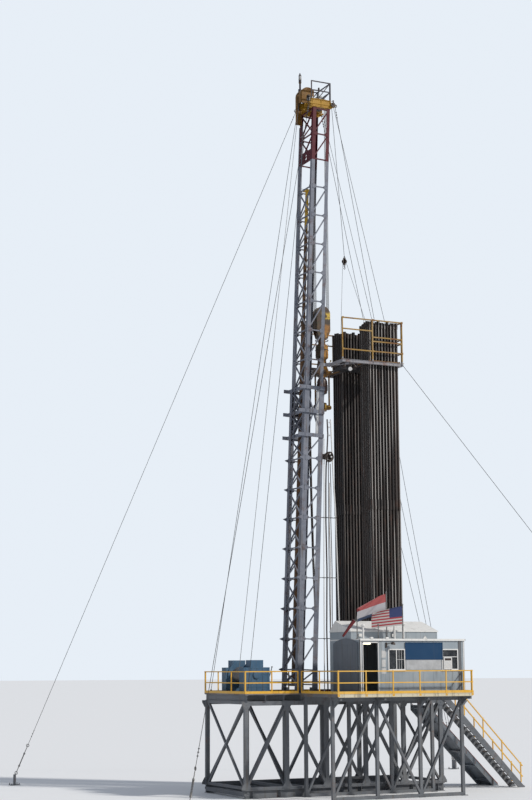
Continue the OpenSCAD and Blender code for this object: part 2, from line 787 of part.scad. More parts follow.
drum_x = well_x - drum_back;
drum_z = floor_h + drum_rise;
flange_r = drum_core + 240;
flange_t = 60;
case_len = 1400;
case_w = 520;
case_h = drum_rise + 350;
module fast_line() color("silver") {
    v = [drum_x - fast_x, 0, drum_z - fast_z];
    n = [v[2], 0, -v[0]] / norm(v);
    rope([fast_x, 0, fast_z] + line_r * n, [drum_x, 0, drum_z] + (drum_core + line_d / 2 + seat) * n,
        line_d, 0);
}

module drawworks() color("steelblue") {
    translate([drum_x, 0, drum_z]) rotate([90, 0, 0]) {
        cylinder(h = drum_len, r = drum_core, center = true);
        for (s = [-1, 1]) translate([0, 0, s * (drum_len + flange_t) / 2])
            cylinder(h = flange_t, r = flange_r, center = true);
    }
    for (s = [-1, 1])
        translate([drum_x - case_len / 2, s * (drum_len / 2 + flange_t + case_w / 2) - case_w / 2, floor_h]) {
            cube([case_len, case_w, case_h]);
            translate([case_len / 4, 0, case_h]) cube([case_len / 2, case_w, 350]);
        }
}

// Guys and anchors

anchor_head = 520;
anchor_step = 170;
function anchor(sx, sy, k) = [sx * anchor_x, sy * (anchor_y + k * anchor_step), anchor_head];

board_lug = [well_x + board_front - beam / 2, board_w / 2 + knuckle_r - 10, board_z - board_t / 2];
cage_lug = [well_x + board_front - beam / 2, hang_y, board_z + cage_h + knuckle_r - 10];
rear_corner = [well_x - floor_rear + 250, floor_w / 2 - 250, floor_h + 130];

function flip(p, s) = [p[0], s * p[1], p[2]];
function inner(p, s) = [p[0], s * inner_lug, p[2]];

module guy_lines() color("dimgray") for (s = [-1, 1]) {
    rope(flip(rear_lug, s), anchor(-1, s, 0), guy_d);
    // Both crown guys at the front run to the far anchor
    rope(flip(front_lug, s), anchor(1, 1, s < 0 ? -1 : 0), guy_d);
    rope(flip(board_lug, s), anchor(1, s, 1), guy_d);
    rope(inner(rear_lug, s), flip(rear_corner, s), guy_d);
    rope(inner(front_lug, s), flip(cage_lug, s), guy_d);
}

module guy_anchors() color("gray") {
    for (sx = [-1, 1]) for (sy = [-1, 1]) {
        first = sx > 0 && sy > 0 ? -1 : 0;
        for (k = [first : 1]) translate(anchor(sx, sy, k)) sphere(r = knuckle_r);
        translate([sx * anchor_x, sy * (anchor_y + anchor_step / 2), 0])
            translate([-250, -250, 0]) cube([500, 500, 30]);
        translate([sx * anchor_x - 40, sy > 0 ? anchor(1, 1, first)[1] - 30 : anchor(1, -1, 1)[1] - 30, 30])
            cube([80, (1 - first) * anchor_step + 60, anchor_head - 30]);
    }
    for (s = [-1, 1]) {
        translate(flip(rear_corner, s)) sphere(r = knuckle_r);
        translate([rear_corner[0] - 30, s * rear_corner[1] - 30, floor_h]) cube([60, 60, 100]);
    }
}

// Crew house

back_y = -floor_w / 2;
front_y = back_y - house_depth;
// The left wall stands beside the open door leaf, with a little room between them
hinge_set = 30;
leaf_room = 20;
house_left = door_left - hinge_set - door_t / 2 - leaf_room - wall_t;
house_len = house_right - house_left;
skid_left = house_left - deck_left;
raise_y = front_y + low_depth;
raise_left = house_left;
raise_right = house_right - 950;
roof_t = 60;
wall_z = floor_h;
door_right = door_left + door_w;
deck_t = 160;

// Windows of the front wall: left side, width, sill above the floor, height
windows = [[560, 830, 1130, 900], [3560, 810, 1130, 900]];

module front_wall() color("lightslategray") at_well() translate([0, front_y, wall_z]) {
    translate([house_left, 0, 0]) cube([door_left - house_left, wall_t, wall_h]);
    difference() {
        translate([door_right, 0, 0]) cube([house_right - door_right, wall_t, wall_h]);
        for (w = windows) translate([w[0], -10, w[2]]) cube([w[1], wall_t + 20, w[3]]);
    }
}

module door_head() color("lightslategray") at_well()
    translate([door_left, front_y, wall_z + door_h]) cube([door_w, wall_t, wall_h - door_h]);

module side_walls() color("lightslategray") at_well()
    for (x = [house_left, house_right - wall_t])
        translate([x, front_y + wall_t, wall_z]) cube([wall_t, house_depth - 2 * wall_t, wall_h]);

module back_wall() color("lightslategray") at_well()
    translate([house_left, back_y - wall_t, wall_z]) cube([house_len, wall_t, wall_h]);

module house_floor() color("dimgray") at_well()
    translate([skid_left, front_y, floor_h - deck_t]) cube([house_right - skid_left, house_depth, deck_t]);

module low_roof() color("white") at_well() difference() {
    translate([house_left, front_y - 40, wall_z + wall_h])
        cube([house_len + 40, house_depth + 40, roof_t]);
    translate([raise_left + wall_t, raise_y + wall_t, wall_z + wall_h - 10])
        cube([raise_right - raise_left - 2 * wall_t, back_y - raise_y - 2 * wall_t, roof_t + 20]);
}

band_z = wall_z + wall_h + roof_t;
module raised_walls() color("lightslategray") at_well() difference() {
    translate([raise_left, raise_y, band_z]) cube([raise_right - raise_left, back_y - raise_y, band_h]);
    translate([raise_left + wall_t, raise_y + wall_t, band_z - 10])
        cube([raise_right - raise_left - 2 * wall_t, back_y - raise_y - 2 * wall_t, band_h + 20]);
}

// An uneven gable drawn across the house: eave edge, ridge near the back, rise h
eave = 50;
module gable(y0, y1, ridge, h)
    polygon([[y0, 0], [y0, eave], [ridge, h], [y1, eave], [y1, 0]]);

hip_z = band_z + band_h;
shell = 60;
module raised_roof() color("white") at_well() translate([0, 0, hip_z]) difference() {
    translate([raise_left - 40, 0, 0]) crosswise(raise_right - raise_left + 80)
        gable(raise_y - 40, back_y, back_y - ridge_back, ridge_rise);
    translate([raise_left + wall_t, 0, -1]) crosswise(raise_right - raise_left - 2 * wall_t)
        gable(raise_y + wall_t, back_y - wall_t, back_y - ridge_back, ridge_rise - 2 * shell);
}

glass_t = 8;
module window_glass() color("lightblue") at_well() for (w = windows)
    translate([w[0], front_y + wall_t / 2 - glass_t / 2, wall_z + w[2]]) cube([w[1], glass_t, w[3]]);

// Door hung inside the front wall, standing open at a right angle to it
hinge_x = door_left - hinge_set;
hinge_y = front_y + wall_t + 30;
pin_r = 9;
hinge_zs = [250, door_h / 2 - 35, door_h - 320];
leaf_gap = 25;
leaf_h = door_h - 30;

module door_hinges() color("silver") at_well() for (z = hinge_zs)
    translate([hinge_x, hinge_y, wall_z + z]) {
        translate([-18, -30, 0]) cube([32, 40, 40]);
        translate([0, 0, 40]) cylinder(h = 70, r = pin_r);
    }

module door() color("gainsboro") at_well() translate([hinge_x, hinge_y, wall_z]) rotate([0, 0, 90])
    difference() {
        union() {
            translate([leaf_gap, -door_t / 2, 20]) cube([door_w + 40, door_t, leaf_h - 20]);
            for (z = hinge_zs) translate([0, 0, z + 40 + seat]) {
                cylinder(h = 70, r = 17);
                translate([12, -5, 0]) cube([20, 10, 70]);
            }
        }
        for (z = hinge_zs) translate([0, 0, z + 30]) cylinder(h = 100, r = pin_r + seat);
        for (z = hinge_zs) translate([-30, -30, z - 10]) cube([50 + 4, 60, 50]);
    }

// Panel with a curved top on the outside of the left wall
panel_from = 170;
panel_w = 2460;
panel_h = 2370;
panel_arch = 220;
arch_r = (panel_w * panel_w / 4 + panel_arch * panel_arch) / (2 * panel_arch);
module porch_panel() color("slategray") at_well()
    translate([house_left - 60, front_y + panel_from, floor_h]) crosswise(60) {
        square([panel_w, panel_h]);
        intersection() {
            translate([panel_w / 2, panel_h + panel_arch - arch_r]) circle(r = arch_r, $fn = 180);
            translate([0, panel_h]) square([panel_w, panel_arch + 10]);
        }
    }

module sign_board() color("midnightblue") at_well()
    translate([1470, front_y - 30, wall_z + 1600]) cube([2040, 30, 760]);

module air_conditioner() color("white") at_well()
    translate([windows[1][0] + 20, front_y - 70, wall_z + windows[1][2]])
        cube([460, 70 + wall_t / 2 - glass_t / 2, 560]);

walk_left = skid_left;
walk_right = house_right - 80;
module walkway() color("gray") at_well()
    translate([walk_left, front_y - walk_w, floor_h - deck_t])
        cube([walk_right - walk_left, walk_w, deck_t]);

module walkway_railing() color("orange") at_well() {
    len = walk_right - walk_left;
    translate([walk_left, front_y - walk_w, floor_h]) upright(rail_d) {
        rail_panel(len, rail_h, 5, [rail_h, rail_h / 2]);
        square([len, 120]);
    }
    end_rail(walk_left, walk_w + house_depth, 2);
    end_rail(walk_right - rail_d, walk_w, 1);
}

// Rail across an end of the deck, from the front rail back over a depth
module end_rail(x, depth, n) translate([x, front_y - walk_w + rail_d + 1, floor_h]) crosswise(rail_d) {
    len = depth - rail_d - 60;
    rail_panel(len, rail_h, n, [rail_h, rail_h / 2]);
    square([len, 120]);
}

// Posts, pads and bracing that carry the house and its walkway
leg = 150;
module house_supports() color("slategray") at_well() {
    h = floor_h - deck_t;
    len = house_right - skid_left - 200;
    for (y = [front_y + 20, back_y - leg - 120]) translate([skid_left + 100, y, 0]) upright(leg) {
        for (i = [0 : 3]) translate([i * (len - leg) / 3, 0]) square([leg, h]);
        translate([0, h - 200]) square([len, 200]);
        square([len, 160]);
        intersection() {
            square([len, h]);
            for (i = [0 : 2]) bar2d([i * (len - leg) / 3 + leg / 2, i % 2 == 0 ? 80 : h - 100],
                [(i + 1) * (len - leg) / 3 + leg / 2, i % 2 == 0 ? h - 100 : 80], 100);
        }
    }
    for (i = [0 : 3]) translate([skid_left + 100 + i * (len - leg) / 3 + 25, front_y - walk_w + 60, h])
        rotate([-90, 0, 0]) linear_extrude(walk_w - 41) square([100, 140]);
}

// Handrails of the drill floor

module floor_rail(len) upright(rail_d) {
    rail_panel(len, rail_h, max(1, round(len / 1500)), [rail_h, rail_h / 2]);
    square([len, 120]);
}

stair_y0 = -floor_w / 2;
stair_y1 = stair_y0 + stair_w;
module floor_railing() color("orange") at_well() {
    translate([-floor_rear, floor_w / 2 - rail_d, floor_h]) floor_rail(floor_rear + floor_front);
    translate([-floor_rear, -floor_w / 2, floor_h]) floor_rail(floor_rear + walk_left - 100);
    translate([-floor_rear + rail_d, -floor_w / 2 + rail_d + 1, floor_h]) rotate([0, 0, 90])
        floor_rail(floor_w - 2 * rail_d - 2);
    translate([floor_front, ramp_w / 2 + 60, floor_h]) rotate([0, 0, 90])
        floor_rail(floor_w / 2 - ramp_w / 2 - 61 - rail_d);
}

// Stair and ramp, both from the front edge of the drill floor

stair_x0 = floor_front;
rise = floor_h / rise_n;
going = stair_run / rise_n;
pitch = atan2(floor_h, stair_run);
stringer_t = 60;

module stair_slope() {
    drop = stringer_h / cos(pitch);
    polygon([[0, floor_h], [0, floor_h - drop], [stair_run - drop / tan(pitch), 0],
        [stair_run + 40, 0], [stair_run + 40, 60], [stair_run * 0.985, floor_h * 0.015 + 60], [60, floor_h]]);
}

module stair_stringers() color("gray") at_well()
    for (y = [stair_y0, stair_y1 - stringer_t])
        translate([stair_x0, y, 0]) upright(stringer_t) stair_slope();

module stair_treads() color("dimgray") at_well()
    for (i = [1 : rise_n - 1])
        translate([stair_x0 + (i - 0.75) * going, stair_y0 + stringer_t, floor_h - i * rise - 40])
            cube([going, stair_w - 2 * stringer_t, 40]);

module stair_railing() color("gold") at_well()
    for (y = [stair_y0 + 5, stair_y1 - 55])
        translate([stair_x0, y, 0]) upright(rail_d) {
            for (k = [0.5, 1]) bar2d([90, floor_h + k * rail_h - 90],
                [stair_run - 60, k * rail_h], rail_d);
            for (i = [0 : 4]) {
                x = 130 + i * (stair_run - 320) / 4;
                z = floor_h * (1 - x / stair_run);
                translate([x, z + 62]) square([rail_d, rail_h - 60]);
            }
        }

// The ramp hangs by two cheeks from the front edge of the drill floor
ramp_top = floor_h - ramp_drop;
ramp_pitch = atan2(ramp_top, ramp_run);
ramp_side = 80;
ramp_depth = 240;
ramp_plate = 25;
rung = 100;
rung_n = 5;

// A band under the ramp's slope, from lift below its top edge and t thick
module ramp_band(lift, t) {
    top = ramp_top - lift / cos(ramp_pitch);
    low = top - t / cos(ramp_pitch);
    polygon([[0, top], [0, low], [low / tan(ramp_pitch), 0], [top / tan(ramp_pitch), 0]]);
}

module pipe_ramp() color("brown") at_well() translate([stair_x0, 0, 0]) {
    for (y = [-ramp_w / 2, ramp_w / 2 - ramp_side]) translate([0, y, 0]) upright(ramp_side) {
        ramp_band(0, ramp_depth);
        translate([0, ramp_top - ramp_depth]) square([60, ramp_drop + ramp_depth]);
    }
    translate([0, -ramp_w / 2 + ramp_side, 0]) upright(ramp_w - 2 * ramp_side) {
        ramp_band(45, ramp_plate);
        for (i = [0 : rung_n]) translate([60 + i * (ramp_run - 500) / rung_n,
                ramp_top * (1 - (60 + i * (ramp_run - 500) / rung_n) / ramp_run) - 80])
            rotate(-ramp_pitch) translate([0, -rung]) square(rung);
    }
}

// Flags on the roof

// Place along X, set back from the front wall, and height of each pole
poles = [[1430, 120, 1600], [700, 420, 2200], [-930, 400, 900], [70, 120, 640]];
pole_d = 50;
flag_w = 1550;
flag_h = 900;
roof_z = wall_z + wall_h + roof_t;
module flag_poles() color("silver") at_well() for (p = poles)
    translate([p[0], front_y + p[1], roof_z]) cylinder(h = p[2], d = pole_d, $fn = 16);

// Flags fly to the left of the first two poles
module flags() color("firebrick") at_well() for (p = [poles[0], poles[1]])
    translate([p[0] - pole_d / 2 - seat - flag_w, front_y + p[1] - 5, roof_z + p[2] - flag_h - 30])
        cube([flag_w, 10, flag_h]);

module windsock() color("red") at_well() {
    p = poles[2];
    translate([p[0] - pole_d / 2 - seat, front_y + p[1], roof_z + p[2] - 20])
        rotate([0, -180 + 35, 0]) intersection() {
            cylinder(h = 950, d = 150, $fn = 12);
            translate([0, -100, 0]) cube([500, 200, 950]);
        }
}

base_frame();
substructure_sides();
substructure_braces();
floor_joists();
drill_floor();
rotary_table();
mast_shoes();
lower_mast_sides();
lower_mast_back();
mast_collars();
upper_mast_sides();
upper_mast_back();
top_section_sides();
top_section_back();
crown_platform();
crown_sheaves();
crown_guards();
crown_railing();
scoping_ram();
board_frame();
board_fingers();
board_railing();
near_pipe_stands();
far_pipe_stands();
travelling_block();
hook_and_links();
drill_lines();
fast_line();
guy_lines();
guy_anchors();
house_floor();
front_wall();
door_head();
side_walls();
back_wall();
low_roof();
raised_walls();
raised_roof();
window_glass();
door_hinges();
door();
porch_panel();
house_supports();
sign_board();
air_conditioner();
walkway();
walkway_railing();
floor_railing();
stair_stringers();
stair_treads();
stair_railing();
pipe_ramp();
drawworks();
flag_poles();
flags();
windsock();
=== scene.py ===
"""Looks of a land drilling rig: finishes of its steelwork, and the small pieces that hang on it."""
import bpy
import bmesh
import json
import math
import random
from mathutils import Matrix, Vector


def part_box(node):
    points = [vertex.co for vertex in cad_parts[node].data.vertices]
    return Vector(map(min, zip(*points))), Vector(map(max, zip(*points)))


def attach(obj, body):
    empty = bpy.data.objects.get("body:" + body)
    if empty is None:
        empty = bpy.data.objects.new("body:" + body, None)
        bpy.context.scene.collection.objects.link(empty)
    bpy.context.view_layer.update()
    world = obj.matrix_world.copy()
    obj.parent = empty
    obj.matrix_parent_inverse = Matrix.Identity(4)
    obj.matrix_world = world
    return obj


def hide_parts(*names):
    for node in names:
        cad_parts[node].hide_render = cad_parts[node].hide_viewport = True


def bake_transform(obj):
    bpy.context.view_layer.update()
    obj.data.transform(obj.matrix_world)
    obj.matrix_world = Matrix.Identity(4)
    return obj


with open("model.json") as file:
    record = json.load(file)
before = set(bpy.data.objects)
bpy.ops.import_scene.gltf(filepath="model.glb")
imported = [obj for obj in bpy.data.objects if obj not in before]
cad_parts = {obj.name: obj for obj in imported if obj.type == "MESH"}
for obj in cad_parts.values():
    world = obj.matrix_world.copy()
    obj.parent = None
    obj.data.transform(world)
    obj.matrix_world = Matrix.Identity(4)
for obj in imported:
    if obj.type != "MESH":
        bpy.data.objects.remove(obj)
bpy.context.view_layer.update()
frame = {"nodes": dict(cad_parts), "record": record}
nodes = frame["nodes"]

# Camera: where the photograph was taken from, fitted to the mast, the board and the house
PHOTO_H = 800
FOCAL_PX = 1586.3
SENSOR = 36.0
CAMERA_YAW = math.radians(64.53)
CAMERA_PITCH = math.radians(9.63)
CAMERA_ROLL = math.radians(0.305)
CAMERA_FROM_WELL = Vector((-37.67, -72.26, 6.04))

table_lo, table_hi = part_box("rotary_table")
WELL = Vector(((table_lo.x + table_hi.x) / 2, (table_lo.y + table_hi.y) / 2, 0))
FLOOR_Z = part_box("drill_floor")[1].z
UP = Vector((0, 0, 1))
SIDES = (-1, 1)

# Racked pipe: the first stand's x, the pitch along a row and the pitch of the rows
STAND_X, STAND_PITCH, ROW_PITCH = 0.51, 0.178, 0.225


def make_camera():
    cam = bpy.data.cameras.new("photo_camera")
    cam.sensor_fit = "VERTICAL"
    cam.sensor_height = SENSOR
    cam.sensor_width = SENSOR
    cam.lens = FOCAL_PX * SENSOR / PHOTO_H
    cam.clip_start = 0.5
    cam.clip_end = 2000
    obj = bpy.data.objects.new("photo_camera", cam)
    bpy.context.scene.collection.objects.link(obj)
    flat = Vector((math.cos(CAMERA_YAW), math.sin(CAMERA_YAW), 0))
    side = flat.cross(UP)
    ahead = flat * math.cos(CAMERA_PITCH) + UP * math.sin(CAMERA_PITCH)
    above = UP * math.cos(CAMERA_PITCH) - flat * math.sin(CAMERA_PITCH)
    right = side * math.cos(CAMERA_ROLL) - above * math.sin(CAMERA_ROLL)
    top = side * math.sin(CAMERA_ROLL) + above * math.cos(CAMERA_ROLL)
    turn = Matrix((right, top, -ahead)).transposed().to_4x4()
    obj.matrix_world = Matrix.Translation(WELL + CAMERA_FROM_WELL) @ turn
    bpy.context.scene.camera = obj


# Node helpers for materials


class Web:
    """Short calls for building a shader node tree."""

    def __init__(self, tree):
        self.tree = tree

    def add(self, kind, **settings):
        n = self.tree.nodes.new(kind)
        for key, value in settings.items():
            setattr(n, key, value)
        return n

    def link(self, a, b):
        self.tree.links.new(a, b)

    def put(self, socket, value):
        if isinstance(value, bpy.types.NodeSocket):
            self.link(value, socket)
        else:
            socket.default_value = value

    def where(self):
        return self.add("ShaderNodeTexCoord").outputs["Object"]

    def split(self, vector):
        n = self.add("ShaderNodeSeparateXYZ")
        self.link(vector, n.inputs[0])
        return n.outputs

    def math(self, operation, a, b=0.5, clamp=False):
        n = self.add("ShaderNodeMath", operation=operation, use_clamp=clamp)
        self.put(n.inputs[0], a)
        self.put(n.inputs[1], b)
        return n.outputs[0]

    def plus(self, a, b, clamp=False):
        return self.math("ADD", a, b, clamp)

    def minus(self, a, b):
        return self.math("SUBTRACT", a, b)

    def times(self, a, b, clamp=False):
        return self.math("MULTIPLY", a, b, clamp)

    def mix(self, factor, a, b):
        n = self.add("ShaderNodeMix", data_type="RGBA")
        self.put(n.inputs["Factor"], factor)
        for socket, value in (("A", a), ("B", b)):
            self.put(n.inputs[socket], rgba(value) if isinstance(value, tuple) else value)
        return n.outputs["Result"]

    def ramp(self, value, low, high):
        """How far the value has come from low to high, eased at both ends."""
        n = self.add("ShaderNodeMapRange", clamp=True)
        n.interpolation_type = "SMOOTHSTEP"
        self.put(n.inputs["Value"], value)
        n.inputs["From Min"].default_value = low
        n.inputs["From Max"].default_value = high
        return n.outputs["Result"]

    def noise(self, vector, scale, detail=4.0, rough=0.55):
        n = self.add("ShaderNodeTexNoise")
        self.put(n.inputs["Vector"], vector)
        self.put(n.inputs["Scale"], scale)
        n.inputs["Detail"].default_value = detail
        n.inputs["Roughness"].default_value = rough
        return n.outputs["Fac"]

    def stretch(self, vector, scale, turn=0.0):
        n = self.add("ShaderNodeMapping")
        self.put(n.inputs["Vector"], vector)
        n.inputs["Scale"].default_value = scale
        n.inputs["Rotation"].default_value = (0, 0, turn)
        return n.outputs["Vector"]


class Coat(Web):
    """A new material, with short calls for what its shader takes."""

    def __init__(self, name, **values):
        self.mat = bpy.data.materials.new(name)
        self.mat.use_nodes = True
        super().__init__(self.mat.node_tree)
        self.shader = self.mat.node_tree.nodes["Principled BSDF"]
        for label, value in values.items():
            self.shader.inputs[label.replace("_", " ")].default_value = value

    def color(self, value):
        self.put(self.shader.inputs["Base Color"], value)

    def rough(self, value, gain, base):
        """Roughness that follows a pattern: base where it is 0, more by gain where it is 1."""
        self.link(self.plus(self.times(value, gain), base), self.shader.inputs["Roughness"])

    def bump(self, height, strength, distance):
        n = self.add("ShaderNodeBump")
        n.inputs["Strength"].default_value = strength
        n.inputs["Distance"].default_value = distance
        self.link(height, n.inputs["Height"])
        self.link(n.outputs["Normal"], self.shader.inputs["Normal"])


def rgba(color):
    return color if len(color) == 4 else (*color, 1.0)


def new_group(name, inputs, outputs):
    tree = bpy.data.node_groups.new(name, "ShaderNodeTree")
    for label, kind, value in inputs:
        tree.interface.new_socket(name=label, in_out="INPUT", socket_type=kind).default_value = value
    for label, kind in outputs:
        tree.interface.new_socket(name=label, in_out="OUTPUT", socket_type=kind)
    web = Web(tree)
    return tree, web, web.add("NodeGroupInput").outputs, web.add("NodeGroupOutput").inputs


RUST, DIRT = (0.16, 0.06, 0.03), (0.10, 0.08, 0.06)


def weathered_coat_group():
    """Paint that has faded in patches, run with dirt and chipped to rust."""
    color, value = "NodeSocketColor", "NodeSocketFloat"
    tree, web, source, result = new_group(
        "weathered_coat",
        [
            ("Paint", color, (0.5, 0.5, 0.5, 1)),
            ("Faded", color, (0.6, 0.6, 0.6, 1)),
            ("Rust", color, rgba(RUST)),
            ("Dirt", color, rgba(DIRT)),
            ("Fading", value, 0.6),
            ("Chips", value, 0.3),
            ("Streaks", value, 0.4),
        ],
        [("Color", color), ("Roughness", value), ("Height", value)],
    )
    where = web.where()
    patches = web.ramp(web.noise(where, 0.55, 3.0), 0.35, 0.68)
    cloudy = web.ramp(web.noise(where, 3.2, 5.0), 0.35, 0.70)
    fading = web.times(web.plus(web.times(patches, 0.6), web.times(cloudy, 0.4)), source["Fading"])
    base = web.mix(fading, source["Paint"], source["Faded"])
    runs = web.noise(web.stretch(where, (7.0, 7.0, 0.45)), 1.0, 5.0, 0.6)
    streaked = web.mix(web.times(web.ramp(runs, 0.52, 0.74), source["Streaks"]), base, source["Dirt"])
    speck = web.noise(where, 24.0, 6.0, 0.7)
    flakes = web.noise(where, 2.1, 4.0, 0.6)
    chip_value = web.plus(web.times(speck, 0.45), web.times(flakes, 0.55))
    edge = web.minus(0.80, web.times(source["Chips"], 0.36))
    past_edge = web.minus(chip_value, edge)
    chip_mask = web.math("GREATER_THAN", chip_value, edge)
    soft = web.times(past_edge, 14.0, clamp=True)
    halo = web.times(web.ramp(past_edge, -0.06, 0.02), 0.35)
    stained = web.mix(halo, streaked, source["Rust"])
    web.link(web.mix(soft, stained, source["Rust"]), result["Color"])
    grain = web.noise(where, 90.0, 2.0, 0.5)
    rough = web.plus(web.times(cloudy, 0.18), web.times(chip_mask, 0.25))
    web.link(web.plus(rough, 0.42, clamp=True), result["Roughness"])
    web.link(web.minus(web.times(grain, 0.25), web.times(soft, 0.5)), result["Height"])
    return tree


WEATHERED = weathered_coat_group()


def coat_of_paint(name, color, faded, fading=0.6, chips=0.3, streaks=0.4, rust=RUST, dirt=DIRT, coat=0.0):
    """The weathered paint on a new material, and its color as a socket."""
    web = Coat(name, Coat_Weight=coat, Specular_IOR_Level=0.25)
    group = web.add("ShaderNodeGroup", node_tree=WEATHERED)
    values = {"Paint": rgba(color), "Faded": rgba(faded), "Rust": rgba(rust), "Dirt": rgba(dirt),
              "Fading": fading, "Chips": chips, "Streaks": streaks}
    for key, value in values.items():
        group.inputs[key].default_value = value
    web.color(group.outputs["Color"])
    web.link(group.outputs["Roughness"], web.shader.inputs["Roughness"])
    web.bump(group.outputs["Height"], 0.35, 0.004)
    return web, group.outputs["Color"]


def paint(name, color, faded, **wear):
    return coat_of_paint(name, color, faded, **wear)[0].mat


def drill_pipe_steel(name, dark, light, highlight_color, highlight_amount):
    """Racked pipe: every stand its own tone, a crisp painted highlight down it, rust and dry mud between."""
    joint_z, row_start = 14.2, 0.2
    web = Coat(name, Specular_IOR_Level=0.45)
    where = web.where()
    parts = web.split(where)
    column = web.math("DIVIDE", web.minus(parts["X"], STAND_X - STAND_PITCH / 2), STAND_PITCH)
    row = web.math("DIVIDE", web.math("ABSOLUTE", parts["Y"]), ROW_PITCH)
    which = web.add("ShaderNodeCombineXYZ")
    web.link(web.math("FLOOR", column), which.inputs["X"])
    web.link(web.math("ROUND", web.minus(row, row_start)), which.inputs["Y"])
    web.link(web.math("GREATER_THAN", parts["Z"], joint_z), which.inputs["Z"])
    each = web.add("ShaderNodeTexWhiteNoise", noise_dimensions="3D")
    web.link(which.outputs[0], each.inputs["Vector"])
    shade = web.mix(each.outputs["Value"], dark, light)
    grains = web.noise(web.stretch(where, (6.0, 6.0, 1.5)), 1.0, 3.0, 0.6)
    rust = web.mix(web.times(web.ramp(grains, 0.50, 0.75), 0.45), shade, (0.10, 0.040, 0.022))
    # Painted highlight: a pale line down one side of each stand, where the sun's reflection on a round pipe falls,
    # broken up by noise
    middle = web.plus(web.times(each.outputs["Value"], 0.16), 0.46)
    near = web.math("ABSOLUTE", web.minus(web.math("FRACT", column), middle))
    runs = web.noise(web.stretch(where, (7.0, 7.0, 0.16)), 1.0, 1.2, 0.4)
    painted_highlight = web.times(web.times(web.ramp(near, 0.11, 0.06), web.ramp(runs, 0.40, 0.54)), highlight_amount)
    web.color(web.mix(painted_highlight, rust, highlight_color))
    web.rough(grains, 0.35, 0.28)
    web.bump(grains, 0.15, 0.002)
    return web.mat


# Bands of paint and bare steel on the travelling gear, from the elevator up: part of the height, and color
GEAR_LOW, GEAR_SPAN = 19.2, 5.7
GEAR_BANDS = [
    (0.0, (0.26, 0.12, 0.015)), (0.14, (0.28, 0.13, 0.015)), (0.19, (0.035, 0.022, 0.014)),
    (0.27, (0.05, 0.03, 0.018)), (0.31, (0.34, 0.15, 0.015)), (0.52, (0.46, 0.21, 0.02)),
    (0.70, (0.44, 0.20, 0.02)), (0.76, (0.30, 0.13, 0.02)), (0.80, (0.30, 0.13, 0.02)),
    (0.815, (0.04, 0.028, 0.018)), (0.855, (0.04, 0.028, 0.018)), (0.87, (0.62, 0.42, 0.04)),
    (0.915, (0.62, 0.42, 0.04)), (0.935, (0.055, 0.032, 0.018)), (1.0, (0.07, 0.042, 0.022)),
]


def banded_gear_paint():
    """Travelling gear: on its right yellow paint, bare and greasy in bands; on its left painted shade, dark with oily
    blotches.
    """
    web = Coat("greasy_gear_paint_with_painted_shade")
    where = web.where()
    parts = web.split(where)
    blotch = web.noise(where, 5.0, 5.0, 0.65)
    wander = web.times(web.minus(blotch, 0.5), 0.28)
    bands = web.add("ShaderNodeValToRGB")
    ramp = bands.color_ramp
    while len(ramp.elements) < len(GEAR_BANDS):
        ramp.elements.new(0.5)
    for stop, (at, color) in zip(ramp.elements, GEAR_BANDS):
        stop.position = at
        stop.color = rgba(color)
    height = web.math("DIVIDE", web.minus(web.plus(parts["Z"], wander), GEAR_LOW), GEAR_SPAN)
    web.link(height, bands.inputs[0])
    # Painted shade: left of the well's middle, the side away from the sun, the gear is a dark oily brown instead of its
    # yellow bands
    oily_painted_shade = web.mix(web.ramp(blotch, 0.4, 0.65), (0.045, 0.035, 0.012), (0.075, 0.030, 0.018))
    right = web.ramp(web.plus(parts["X"], wander), WELL.x - 0.16, WELL.x - 0.06)
    mixed = web.mix(right, oily_painted_shade, bands.outputs[0])
    speck = web.noise(where, 22.0, 5.0, 0.7)
    smear = web.noise(web.stretch(where, (7.0, 7.0, 2.2)), 1.0, 5.0, 0.6)
    grimy = web.mix(web.ramp(smear, 0.47, 0.60), mixed, (0.085, 0.045, 0.014))
    web.color(web.mix(web.ramp(speck, 0.52, 0.66), grimy, (0.035, 0.022, 0.013)))
    web.rough(speck, 0.4, 0.25)
    web.bump(speck, 0.35, 0.004)
    return web.mat


def ram_paint():
    """Scoping ram: oily brown below, yellow paint left only near its top."""
    yellow_from, yellow_all = 29.4, 30.2
    web = Coat("ram_paint")
    where = web.where()
    blotch = web.noise(where, 6.0, 5.0, 0.65)
    level = web.plus(web.split(where)["Z"], web.times(blotch, 1.6))
    brown = web.mix(web.ramp(blotch, 0.4, 0.62), (0.060, 0.032, 0.016), (0.16, 0.075, 0.025))
    yellow = web.mix(web.ramp(blotch, 0.45, 0.7), (0.58, 0.36, 0.03), (0.30, 0.15, 0.03))
    web.color(web.mix(web.ramp(level, yellow_from, yellow_all), brown, yellow))
    web.rough(blotch, 0.4, 0.28)
    web.bump(blotch, 0.3, 0.004)
    return web.mat


def striped_weave(web, a, b):
    """Red and white stripes with a blue corner."""
    stripe = web.math("GREATER_THAN", web.math("FRACT", web.times(b, 6.5)), 0.5)
    corner = web.times(web.math("LESS_THAN", a, 0.42), web.math("GREATER_THAN", b, 0.46))
    return web.mix(corner, web.mix(stripe, (0.47, 0.45, 0.44), (0.34, 0.016, 0.026)), (0.012, 0.03, 0.13))


def banded_weave(web, a, b):
    """A red band over pale grey with a blue foot."""
    upper = web.mix(web.math("GREATER_THAN", b, 0.56), (0.46, 0.45, 0.47), (0.40, 0.075, 0.075))
    return web.mix(web.math("LESS_THAN", b, 0.16), upper, (0.02, 0.045, 0.10))


def woven_cloth(name, pattern):
    """Woven flag cloth in a pattern across (a) and up (b)."""
    web = Coat(name, Roughness=0.85, Sheen_Weight=0.3)
    uv = web.add("ShaderNodeUVMap", uv_map="cloth").outputs[0]
    parts = web.split(uv)
    fibre = web.noise(web.stretch(uv, (260.0, 160.0, 1.0)), 1.0, 2.0)
    web.color(web.mix(web.times(fibre, 0.25), pattern(web, parts["X"], parts["Y"]), (0.12, 0.10, 0.09)))
    web.bump(fibre, 0.3, 0.001)
    return web.mat


